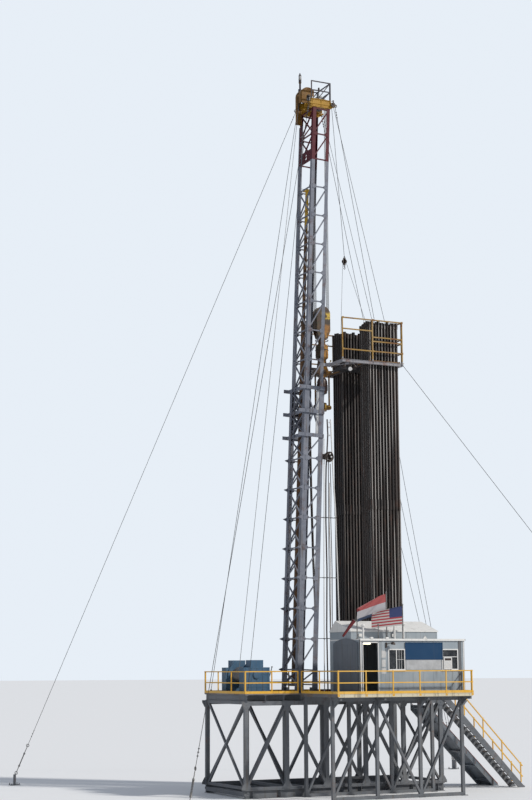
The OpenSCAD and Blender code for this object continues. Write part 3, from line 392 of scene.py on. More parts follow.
BOARD_COAT = {"color": (0.25, 0.25, 0.27), "faded": (0.36, 0.355, 0.36), "chips": 0.65, "streaks": 0.8}
CAGE_COAT = {"color": (0.30, 0.175, 0.035), "faded": (0.36, 0.25, 0.11), "fading": 0.9, "chips": 0.72, "streaks": 0.8}


def board_paint():
    """Board beams in chipped light grey, its middle walk painted nearly black as shade under the board."""
    web, coat = coat_of_paint("board_frame_paint", **BOARD_COAT)
    where = web.where()
    # Painted shade: nearly black within about 0.4 m of the board's middle, with a ragged edge
    ragged = web.times(web.noise(where, 4.0, 4.0), 0.06)
    off_middle = web.plus(web.math("ABSOLUTE", web.split(where)["Y"]), ragged)
    web.color(web.mix(web.ramp(off_middle, 0.42, 0.36), coat, (0.020, 0.019, 0.020)))
    return web.mat


def cage_paint():
    """Cage of the board: yellow-brown rails on a bottom rail in the grey of the board."""
    web, coat = coat_of_paint("cage_paint", **CAGE_COAT)
    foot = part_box("board_railing")[0].z
    low = web.ramp(web.split(web.where())["Z"], foot + 0.11, foot + 0.09)
    web.color(web.mix(low, coat, (0.27, 0.27, 0.28)))
    return web.mat


def lamp_tube():
    """Fluorescent tube that is switched on."""
    web = Coat("lamp_tube", Emission_Color=(1.0, 0.90, 0.62, 1), Emission_Strength=2.2)
    web.color((0.9, 0.88, 0.80, 1))
    return web.mat


def plain(name, color, rough=0.5, metal=0.0, grain=14.0, dark=0.5):
    """A worn plain finish: one color, darker in blotches."""
    web = Coat(name, Metallic=metal)
    blotch = web.noise(web.where(), grain, 5.0, 0.65)
    web.color(web.mix(web.ramp(blotch, 0.35, 0.68), tuple(c * dark for c in color), color))
    web.rough(blotch, 0.25, rough - 0.12)
    web.bump(blotch, 0.2, 0.002)
    return web.mat


def wire_rope_steel():
    """Laid wire rope: a fine slanted thread of strands with grease in it."""
    web = Coat("wire_rope_steel", Metallic=0.6)
    where = web.where()
    wave = web.add("ShaderNodeTexWave", wave_type="BANDS", bands_direction="DIAGONAL")
    web.link(where, wave.inputs["Vector"])
    wave.inputs["Scale"].default_value = 26.0
    wave.inputs["Distortion"].default_value = 1.5
    grime = web.noise(where, 1.7, 4.0)
    dark = web.mix(web.ramp(grime, 0.35, 0.7), (0.07, 0.07, 0.075), (0.17, 0.17, 0.17))
    web.color(web.mix(web.times(wave.outputs["Fac"], 0.5), dark, (0.30, 0.30, 0.30)))
    web.rough(grime, 0.3, 0.35)
    web.bump(wave.outputs["Fac"], 0.5, 0.003)
    return web.mat


def tread_plate():
    """Steel floor plate with raised diamonds, polished by boots and dark with mud."""
    web = Coat("tread_plate", Metallic=0.3)
    where = web.where()
    lugs = web.add("ShaderNodeTexVoronoi", feature="F1", voronoi_dimensions="2D")
    web.link(web.stretch(where, (22, 9, 1), math.radians(45)), lugs.inputs["Vector"])
    lugs.inputs["Randomness"].default_value = 0.0
    raised = web.ramp(lugs.outputs["Distance"], 0.42, 0.25)
    mud = web.ramp(web.noise(where, 1.3, 5.0), 0.40, 0.62)
    plate = web.mix(mud, (0.13, 0.13, 0.135), (0.16, 0.115, 0.08))
    web.color(web.mix(web.times(raised, 0.45), plate, (0.36, 0.36, 0.37)))
    web.rough(mud, 0.35, 0.40)
    web.bump(raised, 0.6, 0.004)
    return web.mat


def window_glass():
    """Window glass with dust on it."""
    web = Coat("dusty_glass", Specular_IOR_Level=0.7, Alpha=0.82)
    dust = web.noise(web.where(), 5.0, 5.0)
    web.color(web.mix(web.ramp(dust, 0.4, 0.8), (0.015, 0.018, 0.022), (0.07, 0.075, 0.08)))
    web.link(web.times(dust, 0.35), web.shader.inputs["Roughness"])
    return web.mat


MAROON_WEAR = {"chips": 0.3, "streaks": 0.35, "rust": (0.06, 0.015, 0.010), "dirt": (0.030, 0.006, 0.008)}
BLUE_WEAR = {"fading": 0.8, "chips": 0.62, "streaks": 0.85, "rust": (0.10, 0.045, 0.030)}
CROWN_GRIME = {"rust": (0.07, 0.030, 0.015), "dirt": (0.045, 0.028, 0.018)}

# Finishes: one for each material slot of the record, and those that single nodes and new pieces have
MATERIALS = {
    "steel_grey": paint("grey_structure_paint", (0.115, 0.125, 0.14), (0.20, 0.205, 0.21), chips=0.5, streaks=0.6),
    "mast_blue": paint("mast_blue_grey_paint", (0.125, 0.140, 0.176), (0.235, 0.248, 0.285), **BLUE_WEAR),
    "mast_red": paint("maroon_mast_paint", (0.068, 0.003, 0.010), (0.085, 0.006, 0.014), **MAROON_WEAR),
    "ochre": paint("yellow_ochre_paint", (0.52, 0.29, 0.035), (0.60, 0.42, 0.14), chips=0.4, streaks=0.55),
    "rail_yellow": paint("handrail_yellow_paint", (0.70, 0.38, 0.035), (0.70, 0.47, 0.16), chips=0.35, streaks=0.3),
    "board_white": paint("light_grey_board_paint", **BOARD_COAT),
    "board_frame_paint": board_paint(),
    "house_paint": paint("house_blue_grey_paint", (0.27, 0.315, 0.35), (0.36, 0.39, 0.41),
                         fading=0.7, chips=0.22, streaks=0.45),
    "roof_paint": paint("off_white_roof_paint", (0.68, 0.675, 0.65), (0.77, 0.76, 0.74), chips=0.25, streaks=0.3),
    "white_paint": paint("white_enamel", (0.66, 0.66, 0.65), (0.72, 0.71, 0.69), chips=0.1, streaks=0.3),
    "sign_blue": paint("sign_navy_enamel", (0.004, 0.040, 0.105), (0.010, 0.052, 0.125),
                       fading=0.4, chips=0.1, streaks=0.15, coat=0.2),
    "table_red": paint("table_red_paint", (0.25, 0.035, 0.022), (0.30, 0.09, 0.06), chips=0.6),
    "ramp_red": paint("ramp_red_brown_paint", (0.17, 0.065, 0.045), (0.24, 0.16, 0.13), chips=0.6, streaks=0.6),
    "works_blue": paint("machine_blue_paint", (0.045, 0.11, 0.19), (0.10, 0.16, 0.22), chips=0.35),
    # Porch panel: the house's blue-grey at under half its brightness, painted shade of the wall's left part
    "porch_grey": paint("porch_grey_painted_shade", (0.120, 0.140, 0.165), (0.165, 0.180, 0.200), chips=0.15),
    "floor_plate": tread_plate(),
    "pipe": drill_pipe_steel("near_pipe_steel", (0.010, 0.008, 0.007), (0.042, 0.029, 0.023), (0.40, 0.38, 0.36), 1.0),
    # Far stands: darker copies of the near pipe's tones and a weaker highlight, painted shade of the board over them
    "far_pipe": drill_pipe_steel("far_pipe_steel", (0.008, 0.006, 0.006), (0.022, 0.016, 0.014),
                                 (0.36, 0.33, 0.31), 0.42),
    "gear_paint": banded_gear_paint(),
    "ram_paint": ram_paint(),
    "striped_cloth": woven_cloth("striped_flag_cloth", striped_weave),
    "plain_cloth": woven_cloth("plain_flag_cloth", banded_weave),
    "sock_cloth": plain("windsock_cloth", (0.15, 0.012, 0.016), 0.85, 0.0, 9.0, 0.6),
    "hose_rubber": plain("black_hose_rubber", (0.055, 0.038, 0.030), 0.55),
    "tan_cable": plain("tan_cable_jacket", (0.42, 0.33, 0.24), 0.6),
    "dark_steel": plain("dark_oily_steel", (0.060, 0.045, 0.040), 0.5, 0.4),
    "dull_steel": plain("dull_bare_steel", (0.28, 0.27, 0.26), 0.45, 0.7),
    "dark_rope": plain("dark_greasy_rope", (0.045, 0.042, 0.042), 0.55, 0.4, 40.0),
    "dark_gear": plain("oily_maroon_steel", (0.085, 0.038, 0.026), 0.38, 0.0, 8.0, 0.3),
    "yellow_gear": plain("greasy_yellow_paint", (0.62, 0.36, 0.03), 0.4, 0.0, 9.0, 0.35),
    "plate_grey": plain("pale_grey_plate", (0.44, 0.45, 0.46), 0.5, 0.0, 3.0, 0.8),
    "notice_white": plain("faded_notice_board", (0.55, 0.55, 0.54), 0.6, 0.0, 6.0, 0.8),
    "lamp_white": lamp_tube(),
    "crown_ochre": paint("crown_ochre_paint", (0.36, 0.19, 0.016), (0.42, 0.25, 0.04),
                         chips=0.6, streaks=0.8, **CROWN_GRIME),
    "crown_brown": paint("crown_brown_ochre_paint", (0.165, 0.078, 0.010), (0.225, 0.115, 0.022),
                         chips=0.72, streaks=0.9, **CROWN_GRIME),
    "crown_navy": paint("crown_dark_navy_paint", (0.030, 0.028, 0.045), (0.07, 0.055, 0.05), chips=0.35, streaks=0.3),
    "cage_paint": cage_paint(),
    "cage_ochre": paint("cage_yellow_brown_paint", **CAGE_COAT),
    "cream_paint": paint("cream_deck_edge_paint", (0.56, 0.50, 0.36), (0.62, 0.57, 0.45), chips=0.35, streaks=0.6),
    "edge_red": paint("scraped_red_edge", (0.22, 0.06, 0.04), (0.26, 0.14, 0.11), chips=0.5, streaks=0.3),
    "ramp_grey": paint("ramp_grey_blue_paint", (0.15, 0.175, 0.205), (0.24, 0.25, 0.26), chips=0.55, streaks=0.6),
    "bright_steel": wire_rope_steel(),
    "glass": window_glass(),
    "flag_cloth": paint("flag_red_cloth", (0.45, 0.03, 0.04), (0.5, 0.06, 0.06), chips=0.0, streaks=0.0),
}
NODE_FINISH = {
    # far_pipe_stands: the darker pipe finish, painted shade
    # porch_panel: the darker porch grey, painted shade
    # travelling_block, hook_and_links: the gear paint, with painted shade on its left
    "porch_panel": "porch_grey", "far_pipe_stands": "far_pipe", "travelling_block": "gear_paint",
    "hook_and_links": "gear_paint", "scoping_ram": "ram_paint", "crown_railing": "crown_navy",
    "crown_platform": "crown_ochre", "crown_guards": "crown_brown", "board_railing": "cage_paint",
    # board_fingers: the dark brown, painted shade under the board
    "board_fingers": "crown_brown", "board_frame": "board_frame_paint", "pipe_ramp": "ramp_grey",
    "guy_lines": "dark_rope", "flag_poles": "dull_steel",
}


def dress_nodes():
    for row in frame["record"]["subparts"]:
        finish = NODE_FINISH.get(row["node"], row["material_slot"])
        obj = nodes[row["node"]]
        obj.data.materials.clear()
        obj.data.materials.append(MATERIALS[finish])


# Mesh helpers: every new piece is a Shape, made with bmesh operators


def towards(run):
    """The turn that brings Z to a direction."""
    return Vector(run).to_track_quat("Z", "Y").to_matrix().to_4x4()


class Shape:
    """A mesh under construction, in metres, in the frame of the rig."""

    def __init__(self):
        self.bm = bmesh.new()

    def place(self, verts, spot):
        bmesh.ops.transform(self.bm, matrix=spot, verts=verts)

    def box(self, lo, hi, turn=None):
        lo, hi = Vector(lo), Vector(hi)
        made = bmesh.ops.create_cube(self.bm, size=1.0)["verts"]
        size = Matrix.Diagonal((abs(hi.x - lo.x), abs(hi.y - lo.y), abs(hi.z - lo.z), 1))
        self.place(made, (turn or Matrix()) @ Matrix.Translation((lo + hi) / 2) @ size)

    def block(self, at, half):
        """A box by its middle and its half sizes."""
        self.box(Vector(at) - Vector(half), Vector(at) + Vector(half))

    def rod(self, a, b, radius, sides=8):
        a, b = Vector(a), Vector(b)
        made = bmesh.ops.create_cone(self.bm, cap_ends=True, segments=sides, radius1=radius, radius2=radius,
                                     depth=(b - a).length)["verts"]
        self.place(made, Matrix.Translation((a + b) / 2) @ towards(b - a))

    def bolt(self, at, along, radius=0.018, height=0.014):
        at, along = Vector(at), Vector(along).normalized()
        self.rod(at - along * 0.004, at + along * height, radius, 6)

    def bar(self, a, b, wide, deep):
        """A square bar between two points."""
        a, b = Vector(a), Vector(b)
        made = bmesh.ops.create_cube(self.bm, size=1.0)["verts"]
        size = Matrix.Diagonal((wide, deep, (b - a).length, 1))
        self.place(made, Matrix.Translation((a + b) / 2) @ towards(b - a) @ size)

    def path(self, points, radius, sides=8):
        """A round bar bent through points."""
        points = [Vector(p) for p in points]
        rings = []
        for i, p in enumerate(points):
            ahead = (points[min(i + 1, len(points) - 1)] - points[max(i - 1, 0)]).normalized()
            made = bmesh.ops.create_circle(self.bm, segments=sides, radius=radius)["verts"]
            self.place(made, Matrix.Translation(p) @ towards(ahead))
            rings.append(made)
        for a, b in zip(rings, rings[1:]):
            loop = list({e for v in a + b for e in v.link_edges if e.other_vert(v) in a + b})
            edges = [e for e in loop if (e.verts[0] in a) == (e.verts[1] in a)]
            bmesh.ops.bridge_loops(self.bm, edges=edges)
        self.bm.faces.new(reversed(rings[0]))
        self.bm.faces.new(rings[-1])

    def ball(self, at, radius):
        made = bmesh.ops.create_icosphere(self.bm, subdivisions=2, radius=radius)["verts"]
        self.place(made, Matrix.Translation(Vector(at)))

    def plate(self, outline, thick, spot):
        """A flat plate: its outline in x and y, thick along z, laid at spot."""
        verts = [self.bm.verts.new((x, y, 0)) for x, y in outline]
        face = self.bm.faces.new(verts)
        out = bmesh.ops.extrude_face_region(self.bm, geom=[face])["geom"]
        top = [g for g in out if isinstance(g, bmesh.types.BMVert)]
        bmesh.ops.translate(self.bm, verts=top, vec=(0, 0, thick))
        self.place(verts + top, spot)

    def turned(self, profile, at, along, turns=24):
        """A turned piece: a closed profile of radius and height spun about the axis along."""
        verts = [self.bm.verts.new((r, 0, h)) for r, h in profile]
        edges = [self.bm.edges.new(pair) for pair in zip(verts, verts[1:] + verts[:1])]
        before = set(self.bm.verts) - set(verts)
        bmesh.ops.spin(self.bm, geom=verts + edges, cent=(0, 0, 0), axis=(0, 0, 1),
                       angle=2 * math.pi, steps=turns, use_merge=True)
        made = [v for v in self.bm.verts if v not in before]
        self.place(made, Matrix.Translation(Vector(at)) @ towards(along))

    def cap(self, at, along, radius, edge, top, height, turns=24):
        """A round cap: upright to the height of its edge, then sloping in to its top."""
        self.turned([(0, 0), (radius, 0), (radius, edge), (top, height), (0, height)], at, along, turns)

    def tube(self, at, along, inner, outer, length, turns=18):
        self.turned([(inner, 0), (outer, 0), (outer, length), (inner, length)], at, along, turns)

    def ring(self, at, along, radius, wire, turns=20, sides=8):
        """A closed ring of round bar about the axis along."""
        section = [(radius + wire * math.cos(a), wire * math.sin(a))
                   for a in (2 * math.pi * k / sides for k in range(sides))]
        self.turned(section, at, along, turns)

    def finish(self, name, finish, body="rig", slot=None, smooth=False):
        """Makes the object, and fixes it to a body of the rig."""
        bmesh.ops.remove_doubles(self.bm, verts=self.bm.verts, dist=0.00005)
        bmesh.ops.recalc_face_normals(self.bm, faces=self.bm.faces)
        obj = new_object(name, self.bm, finish)
        if smooth:
            obj.data.shade_smooth()
            obj.data.set_sharp_from_angle(angle=math.radians(35))
        if body:
            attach(obj, body)
        return obj


def new_object(name, bm, finish):
    """An object of a mesh under construction, in a finish."""
    mesh = bpy.data.meshes.new(name)
    bm.to_mesh(mesh)
    bm.free()
    mesh.materials.append(MATERIALS[finish])
    obj = bpy.data.objects.new(name, mesh)
    bpy.context.scene.collection.objects.link(obj)
    return obj


# Sizes of the mast that the details on it follow
W = WELL.x
LEAN = math.radians(2.3)
MAST_BACK = 2.06
LOWER_W, LOWER_DEPTH, LOWER_LEG = 1.75, 1.11, 0.27
UPPER_W, UPPER_DEPTH, UPPER_LEG, UPPER_X = 1.55, 0.998, 0.19, 0.086
BOARD_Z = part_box("board_frame")[1].z
COLLARS = [BOARD_Z - 3.81 + 1.23 * i for i in range(3)]
TOP_Z = BOARD_Z + 10.93
CROWN_Z = TOP_Z + 2.91
CROWN_TOP = CROWN_Z + 0.45
GUY_Y, GUY_Z = 0.785, CROWN_Z + 0.2
LOWER_BARS = [FLOOR_Z + 2.66 + 1.52 * i for i in range(7)]
UPPER_BARS = [COLLARS[2] + 1.52 + 1.55 * i for i in range(7)]
MAST = Matrix.Translation((W - MAST_BACK, 0, FLOOR_Z)) @ Matrix.Rotation(LEAN, 4, "Y")
UPRIGHT = Matrix.Rotation(math.pi / 2, 4, "X")


def up_mast(z):
    return (z - FLOOR_Z) / math.cos(LEAN)


def on_mast(x, y, z):
    """A point by its distance from the mast's back, its y and its height above the ground."""
    return MAST @ Vector((x, y, up_mast(z)))


def steps(start, pitch, count):
    """Values at one pitch."""
    return [start + i * pitch for i in range(count)]


def round_circle(count, radius, start=0.0, pitch=None):
    """Pairs of offsets round a circle, from a start angle and a pitch in degrees."""
    pitch = 360 / count if pitch is None else pitch
    angles = [math.radians(start + k * pitch) for k in range(count)]
    return [(radius * math.cos(a), radius * math.sin(a)) for a in angles]


# Mast: gussets, collars, ladder and the lines beside it


def leg_gusset(s, x, side, width, reach, h):
    """A bolted plate on the flat side of the mast, reaching inwards from a leg."""
    thick = 0.012
    wide, point = reach * 0.6, reach * 1.1
    outline = [(0, -0.13), (wide, -0.13), (point, -0.05), (point, 0.05), (wide, 0.13), (0, 0.13)]
    y = side * width / 2 + (thick if side > 0 else 0.0)
    s.plate(outline, thick, MAST @ Matrix.Translation((x, y, h)) @ UPRIGHT)
    for a, b in ((0.15, -0.09), (0.15, 0.09), (0.5, -0.09), (0.5, 0.09), (0.9, 0.0)):
        s.bolt(MAST @ Vector((x + reach * a, side * (width / 2 + thick), h + b)), (0, side, 0), 0.016)


def back_gusset(s, x, side, width, leg, h):
    """A bolted plate on the back of the mast, reaching inwards from a leg."""
    thick = 0.012
    y = side * (width / 2 - 0.01)
    inner, point = -side * leg * 0.85, -side * leg * 1.2
    outline = [(-0.12, 0), (0.12, 0), (0.12, inner), (0.04, point), (-0.04, point), (-0.12, inner)]
    s.plate(outline, thick, MAST @ Matrix.Translation((x, y, h)) @ Matrix.Rotation(-math.pi / 2, 4, "Y"))
    for b in (-0.08, 0.08):
        for a in (0.25, 0.7):
            s.bolt(MAST @ Vector((x - thick, y - side * leg * a, h + b)), (-1, 0, 0), 0.016)


def lattice_gussets():
    """Bolted plates where the bracing meets the legs."""
    lower = (0.0, LOWER_W, LOWER_DEPTH, LOWER_LEG)
    upper = (UPPER_X, UPPER_W, UPPER_DEPTH, UPPER_LEG)
    sections = [
        ("lower_mast_gussets", LOWER_BARS, lower, "mast_blue"),
        ("upper_mast_gussets", UPPER_BARS, upper, "mast_blue"),
        ("top_section_gussets", [(TOP_Z + CROWN_Z) / 2], upper, "mast_red"),
    ]
    for name, bars, (x0, width, depth, leg), finish in sections:
        s = Shape()
        for z in bars:
            h = up_mast(z)
            for side in SIDES:
                leg_gusset(s, x0 + leg * 0.4, side, width, leg, h)
                leg_gusset(s, x0 + depth - leg * 0.4, side, width, -leg, h)
                back_gusset(s, x0, side, width, leg, h)
        s.finish(name, finish, slot=finish)


COLLAR_HALF = LOWER_W / 2 + 0.08


def collar_bolts():
    """Bolt rows and stiffeners on the three collars."""
    s = Shape()
    for z in COLLARS:
        h = up_mast(z)
        for side in SIDES:
            for x in steps(0.07, 0.19, 6):
                for b in (-0.028, 0.028):
                    s.bolt(MAST @ Vector((x, side * COLLAR_HALF, h + b)), (0, side, 0), 0.015, 0.016)
            for x in (0.02, LOWER_DEPTH - 0.05):
                lo = Vector((x, side * COLLAR_HALF - 0.012, h - 0.085))
                s.box(lo, lo + Vector((0.022, 0.024, 0.17)), MAST)
        for y in steps(-0.77, 0.22, 8):
            s.bolt(MAST @ Vector((-0.08, y, h)), (-1, 0, 0), 0.016, 0.016)
    s.finish("collar_bolts", "mast_blue", slot="mast_blue")


def lock_pin_housings():
    """Bolted housings of the lock pins, between the collars on the near side."""
    s = Shape()
    y = 0.10 - COLLAR_HALF
    for z in COLLARS[:2]:
        h = up_mast(z)
        s.box((0.68, y, h + 0.10), (0.86, y + 0.03, h + 1.13), MAST)
        for b in (0.25, 0.6, 0.95):
            s.bolt(MAST @ Vector((0.77, y, h + b)), (0, -1, 0), 0.02, 0.02)
    s.finish("lock_pin_housings", "plate_grey", slot="mast_blue")


def mast_ladder():
    """Climbing ladder up the back of the mast beside the far leg, on brackets at the level bars."""
    s = Shape()
    x, rails, pitch = -0.12, (0.05, 0.39), 0.30
    low, high = FLOOR_Z + 0.35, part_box("crown_guards")[0].z - 0.12
    for y in rails:
        s.rod(on_mast(x, y, low), on_mast(x, y, high), 0.022)
        for z in LOWER_BARS + UPPER_BARS:
            back = UPPER_X + 0.02 if z > COLLARS[2] else 0.01
            s.rod(on_mast(x, y, z), on_mast(back, y, z), 0.014, 6)
    for z in steps(low + pitch, pitch, int((high - low) / pitch) - 1):
        s.rod(on_mast(x, rails[0], z), on_mast(x, rails[1], z), 0.012, 6)
    s.finish("mast_ladder", "mast_blue", slot="mast_blue")


# Service lines before the near front leg: name, finish, radius, y, and points x, z from the top down
LINES_Y = -0.86
SERVICE_LINES = [
    ("pale_service_pipe", "white_paint", 0.034, LINES_Y,
     [(-1.24, 18.7), (-1.17, 17.0), (-1.11, 15.4), (-1.03, 14.1), (-0.96, 11.5), (-0.88, 8.0), (-0.84, 4.9)]),
    ("inner_service_pipe", "white_paint", 0.026, LINES_Y,
     [(-1.63, 17.7), (-1.65, 15.2), (-1.71, 11.5), (-1.74, 8.0), (-1.76, 4.9)]),
    ("brown_hose", "hose_rubber", 0.036, LINES_Y + 0.05,
     [(-1.41, 18.7), (-1.38, 17.9), (-1.44, 17.0), (-1.50, 16.2), (-1.53, 15.2), (-1.55, 13.5), (-1.52, 11.0),
      (-1.57, 8.0), (-1.54, 4.9)]),
    ("grey_service_pipe", "steel_grey", 0.024, LINES_Y - 0.04,
     [(-1.41, 16.6), (-1.42, 15.2), (-1.44, 12.0), (-1.42, 8.0), (-1.42, 4.9)]),
    ("tan_cable", "tan_cable", 0.016, LINES_Y - 0.06,
     [(-1.37, 15.4), (-1.39, 14.4), (-1.41, 13.5), (-1.36, 11.0), (-1.40, 8.0), (-1.37, 4.9)]),
    ("black_cable", "hose_rubber", 0.020, LINES_Y + 0.02,
     [(-1.28, 16.4), (-1.25, 15.0), (-1.28, 13.5), (-1.24, 11.0), (-1.27, 8.0), (-1.23, 4.9)]),
    ("rear_standpipe", "pipe", 0.062, 0.50,
     [(-1.74, 18.0), (-1.70, 15.0), (-1.62, 11.5), (-1.54, 9.5), (-1.50, 7.0), (-1.50, 4.9)]),
]


def service_lines():
    """Fixed pipes and hoses in front of the near front leg, and the standpipe at the rear."""
    for name, finish, radius, y, points in SERVICE_LINES:
        s = Shape()
        bends = [Vector((x, y, z)) for x, z in points]
        fine = [a.lerp(b, k / 4) for a, b in zip(bends, bends[1:]) for k in range(4)]
        s.path(fine + bends[-1:], radius, 10)
        s.finish(name, finish, smooth=True)


def service_line_brackets():
    """Arms at three levels that hold the service lines."""
    s = Shape()
    for z in LOWER_BARS[0:6:2]:
        face = on_mast(LOWER_DEPTH, 0, z).x
        s.box((face - 0.05, LINES_Y + 0.03, z - 0.018), (-0.98, LINES_Y + 0.066, z + 0.018))
        for x in (-1.72, -1.50, -1.28, -1.06):
            s.box((x - 0.05, LINES_Y - 0.09, z - 0.02), (x + 0.05, LINES_Y + 0.04, z + 0.02))
    s.finish("service_line_brackets", "steel_grey", slot="steel_grey")


def hank_of_hose():
    """Spare hose in loose rings on a plate."""
    s = Shape()
    rng = random.Random(5)
    for k in range(9):
        at = (-1.44 + rng.uniform(-0.05, 0.05), LINES_Y - 0.08 - 0.012 * k, 16.74 + rng.uniform(-0.05, 0.05))
        along = (rng.uniform(-0.15, 0.15), 1, rng.uniform(-0.2, 0.2))
        s.ring(at, along, 0.20 + rng.uniform(-0.03, 0.03), 0.022, 20, 6)
    s.box((-1.70, LINES_Y - 0.05, 16.60), (-1.18, LINES_Y + 0.03, 16.88))
    s.finish("hank_of_hose", "hose_rubber", smooth=True)


def pale_pipe_caps():
    """Pale round caps by the upper ends of the lines."""
    s = Shape()
    for x, z in ((-1.40, 16.87), (-1.33, 16.72), (-1.43, 18.25), (-1.41, 18.50), (-1.41, 17.83)):
        s.cap((x, LINES_Y - 0.20, z), (0, -1, 0), 0.045, 0.03, 0.02, 0.05, 12)
    s.finish("pale_pipe_caps", "white_paint")


# Crown
FAST_X, FAST_Z = -2.03, 36.22


def crown_beam_ribs():
    """Flanges, ribs and bolts of the crown's beams."""
    s = Shape()
    x0, x1 = W - 0.85, W + 0.31
    for side in SIDES:
        y = side * UPPER_W / 2
        for z in (CROWN_Z + 0.012, CROWN_TOP - 0.012):
            s.box((x0, y - 0.035, z - 0.012), (x1, y + 0.035, z + 0.012))
        for x in steps(x0 + 0.06, (x1 - x0 - 0.12) / 2, 3):
            s.box((x - 0.008, y, CROWN_Z + 0.02), (x + 0.008, y + side * 0.03, CROWN_TOP - 0.02))
        for x in steps(x0 + 0.04, 0.10, 12):
            for z in (CROWN_Z + 0.07, CROWN_TOP - 0.07):
                s.bolt((x, y + side * 0.002, z), (0, side, 0), 0.014)
    s.finish("crown_beam_ribs", "crown_ochre", slot="ochre")


def crown_shaft_nuts():
    """Nuts on the shafts of the crown's sheaves, and the bolts round the guards of the rear one."""
    s = Shape()
    for side in SIDES:
        for x, z in ((W, CROWN_TOP + 0.06), (FAST_X, FAST_Z)):
            s.rod((x, side * 0.30, z), (x, side * 0.35, z), 0.085, 6)
            s.rod((x, side * 0.35, z), (x, side * 0.40, z), 0.045, 12)
        for dx, dz in round_circle(9, 0.44, 10, 20) + [(-0.40, -0.12 * k) for k in range(3)]:
            s.bolt((FAST_X + dx, side * 0.302, FAST_Z + dz), (0, side, 0), 0.013, 0.012)
    s.finish("crown_shaft_nuts", "dark_steel", slot="bright_steel")


def catline_sheave():
    """Small sheave in a strap at the near side of the crown."""
    s = Shape()
    x, z = -0.86, 35.71
    rim = [(0.03, -0.03), (0.12, -0.035), (0.12, -0.02), (0.09, 0.0), (0.12, 0.02), (0.12, 0.035), (0.03, 0.03)]
    s.turned(rim, (x, -0.87, z), (0, 1, 0))
    s.rod((x, -0.94, z), (x, -0.74, z), 0.03, 10)
    s.box((x - 0.025, -0.93, z - 0.03), (x + 0.025, -0.915, z + 0.23))
    s.box((x - 0.025, -0.93, z + 0.215), (x + 0.025, -0.74, z + 0.23))
    s.finish("catline_sheave", "dark_steel", slot="ochre", smooth=True)


def crown_lamp():
    s = Shape()
    at = Vector((-1.64, -0.74, 36.42))
    s.rod((at.x, at.y, CROWN_TOP - 0.02), (at.x, at.y, at.z + 0.03), 0.02)
    s.turned([(0, 0), (0.05, 0.0), (0.055, 0.10), (0.04, 0.16), (0, 0.18)], at, UP, 14)
    s.finish("crown_lamp", "dark_steel", smooth=True)


def crown_shackles():
    """Shackles of the guys at the corners of the crown."""
    lo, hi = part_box("crown_platform")
    pin = Vector((0, 0.07, 0))
    s = Shape()
    for side in SIDES:
        for x in (lo.x + 0.02, hi.x - 0.02):
            at = Vector((x, side * GUY_Y, GUY_Z))
            s.ring(at, (0.2, 1, 0.1), 0.075, 0.018, 18)
            s.rod(at - pin, at + pin, 0.02)
    s.finish("crown_shackles", "dark_steel", slot="bright_steel", smooth=True)


def beacon():
    """Beacon on its pole: a cage of wire, the casing with its cap, and the lens."""
    x, y = W - 0.795, UPPER_W / 2 - 0.11
    low, high, radius = 37.28, 37.68, 0.077
    s = Shape()
    for dx, dy in round_circle(6, radius):
        s.rod((x + dx, y + dy, low), (x + dx, y + dy, high), 0.006, 6)
    for z in steps(low, (high - low) / 2, 3):
        s.ring((x, y, z), UP, radius, 0.007, 20, 6)
    s.finish("beacon_cage", "dark_steel", smooth=True)
    s = Shape()
    s.tube((x, y, CROWN_TOP + 0.01), UP, 0.046, 0.052, 1.30)
    s.tube((x, y, 37.27), UP, 0.071, 0.075, 0.16)
    s.turned([(0.016, 0.0), (0.073, 0.0), (0.020, 0.165), (0.0155, 0.165)], (x, y, 37.665), UP, 18)
    s.finish("beacon_casing", "crown_navy", slot="rail_yellow", smooth=True)
    s = Shape()
    s.tube((x, y, 37.44), UP, 0.071, 0.074, 0.22)
    s.finish("beacon_lens", "notice_white", smooth=True)


# Scoping ram
RAM_X, RAM_Y = 0.336, -0.20


def ram_glands():
    """Glands and clamps of the ram."""
    s = Shape()
    for z, r in ((6.6, 0.15), (9.5, 0.145), (12.5, 0.145), (15.5, 0.145), (18.5, 0.145), (21.5, 0.145), (23.8, 0.16)):
        at = on_mast(RAM_X, RAM_Y, z)
        ahead = on_mast(RAM_X, RAM_Y, z + 1) - at
        s.turned([(0.115, -0.04), (r, -0.04), (r, 0.04), (0.115, 0.04)], at, ahead, 20)
    s.finish("ram_glands", "dark_steel", slot="ochre", smooth=True)


def ram_hose():
    s = Shape()
    heights = steps(FLOOR_Z + 0.9, 0.75, 25)
    points = [on_mast(0.20, -0.28, z) + Vector((0, 0.01 * math.sin(k * 1.7), 0)) for k, z in enumerate(heights)]
    s.path(points, 0.018, 6)
    s.finish("ram_hose", "hose_rubber", smooth=True)


# Travelling block, hook, swivel and elevator
BLOCK_LO, BLOCK_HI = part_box("travelling_block")
BLOCK_TOP, BLOCK_FOOT, BLOCK_FACE = BLOCK_HI.z, BLOCK_LO.z, BLOCK_HI.y


def block_piece(s, name, finish, smooth=True):
    s.finish(name, finish, "block", slot="ochre", smooth=smooth)


def block_pin_covers():
    """Covers and nuts of the sheave pin, and the bolts of the side plates."""
    s = Shape()
    z = BLOCK_TOP - 0.52
    cover = [(0.04, 0), (0.115, 0), (0.115, 0.02), (0.06, 0.045), (0.04, 0.045)]
    plate_bolts = ((-0.33, -0.05), (0.33, -0.05), (-0.33, -0.75), (0.33, -0.75), (0, -1.05), (-0.22, 0.3), (0.22, 0.3))
    for side in SIDES:
        y, out = side * BLOCK_FACE, (0, side, 0)
        s.turned(cover, (W, y, z), out, 20)
        s.rod((W, y, z), (W, y + side * 0.05, z), 0.045, 6)
        for dx, dz in round_circle(10, 0.17, 18):
            s.bolt((W + dx, y, z + dz), out, 0.014)
        for dx, dz in plate_bolts:
            s.bolt((W + dx, y, z + dz), out, 0.020, 0.018)
    block_piece(s, "block_pin_covers", "dark_steel")


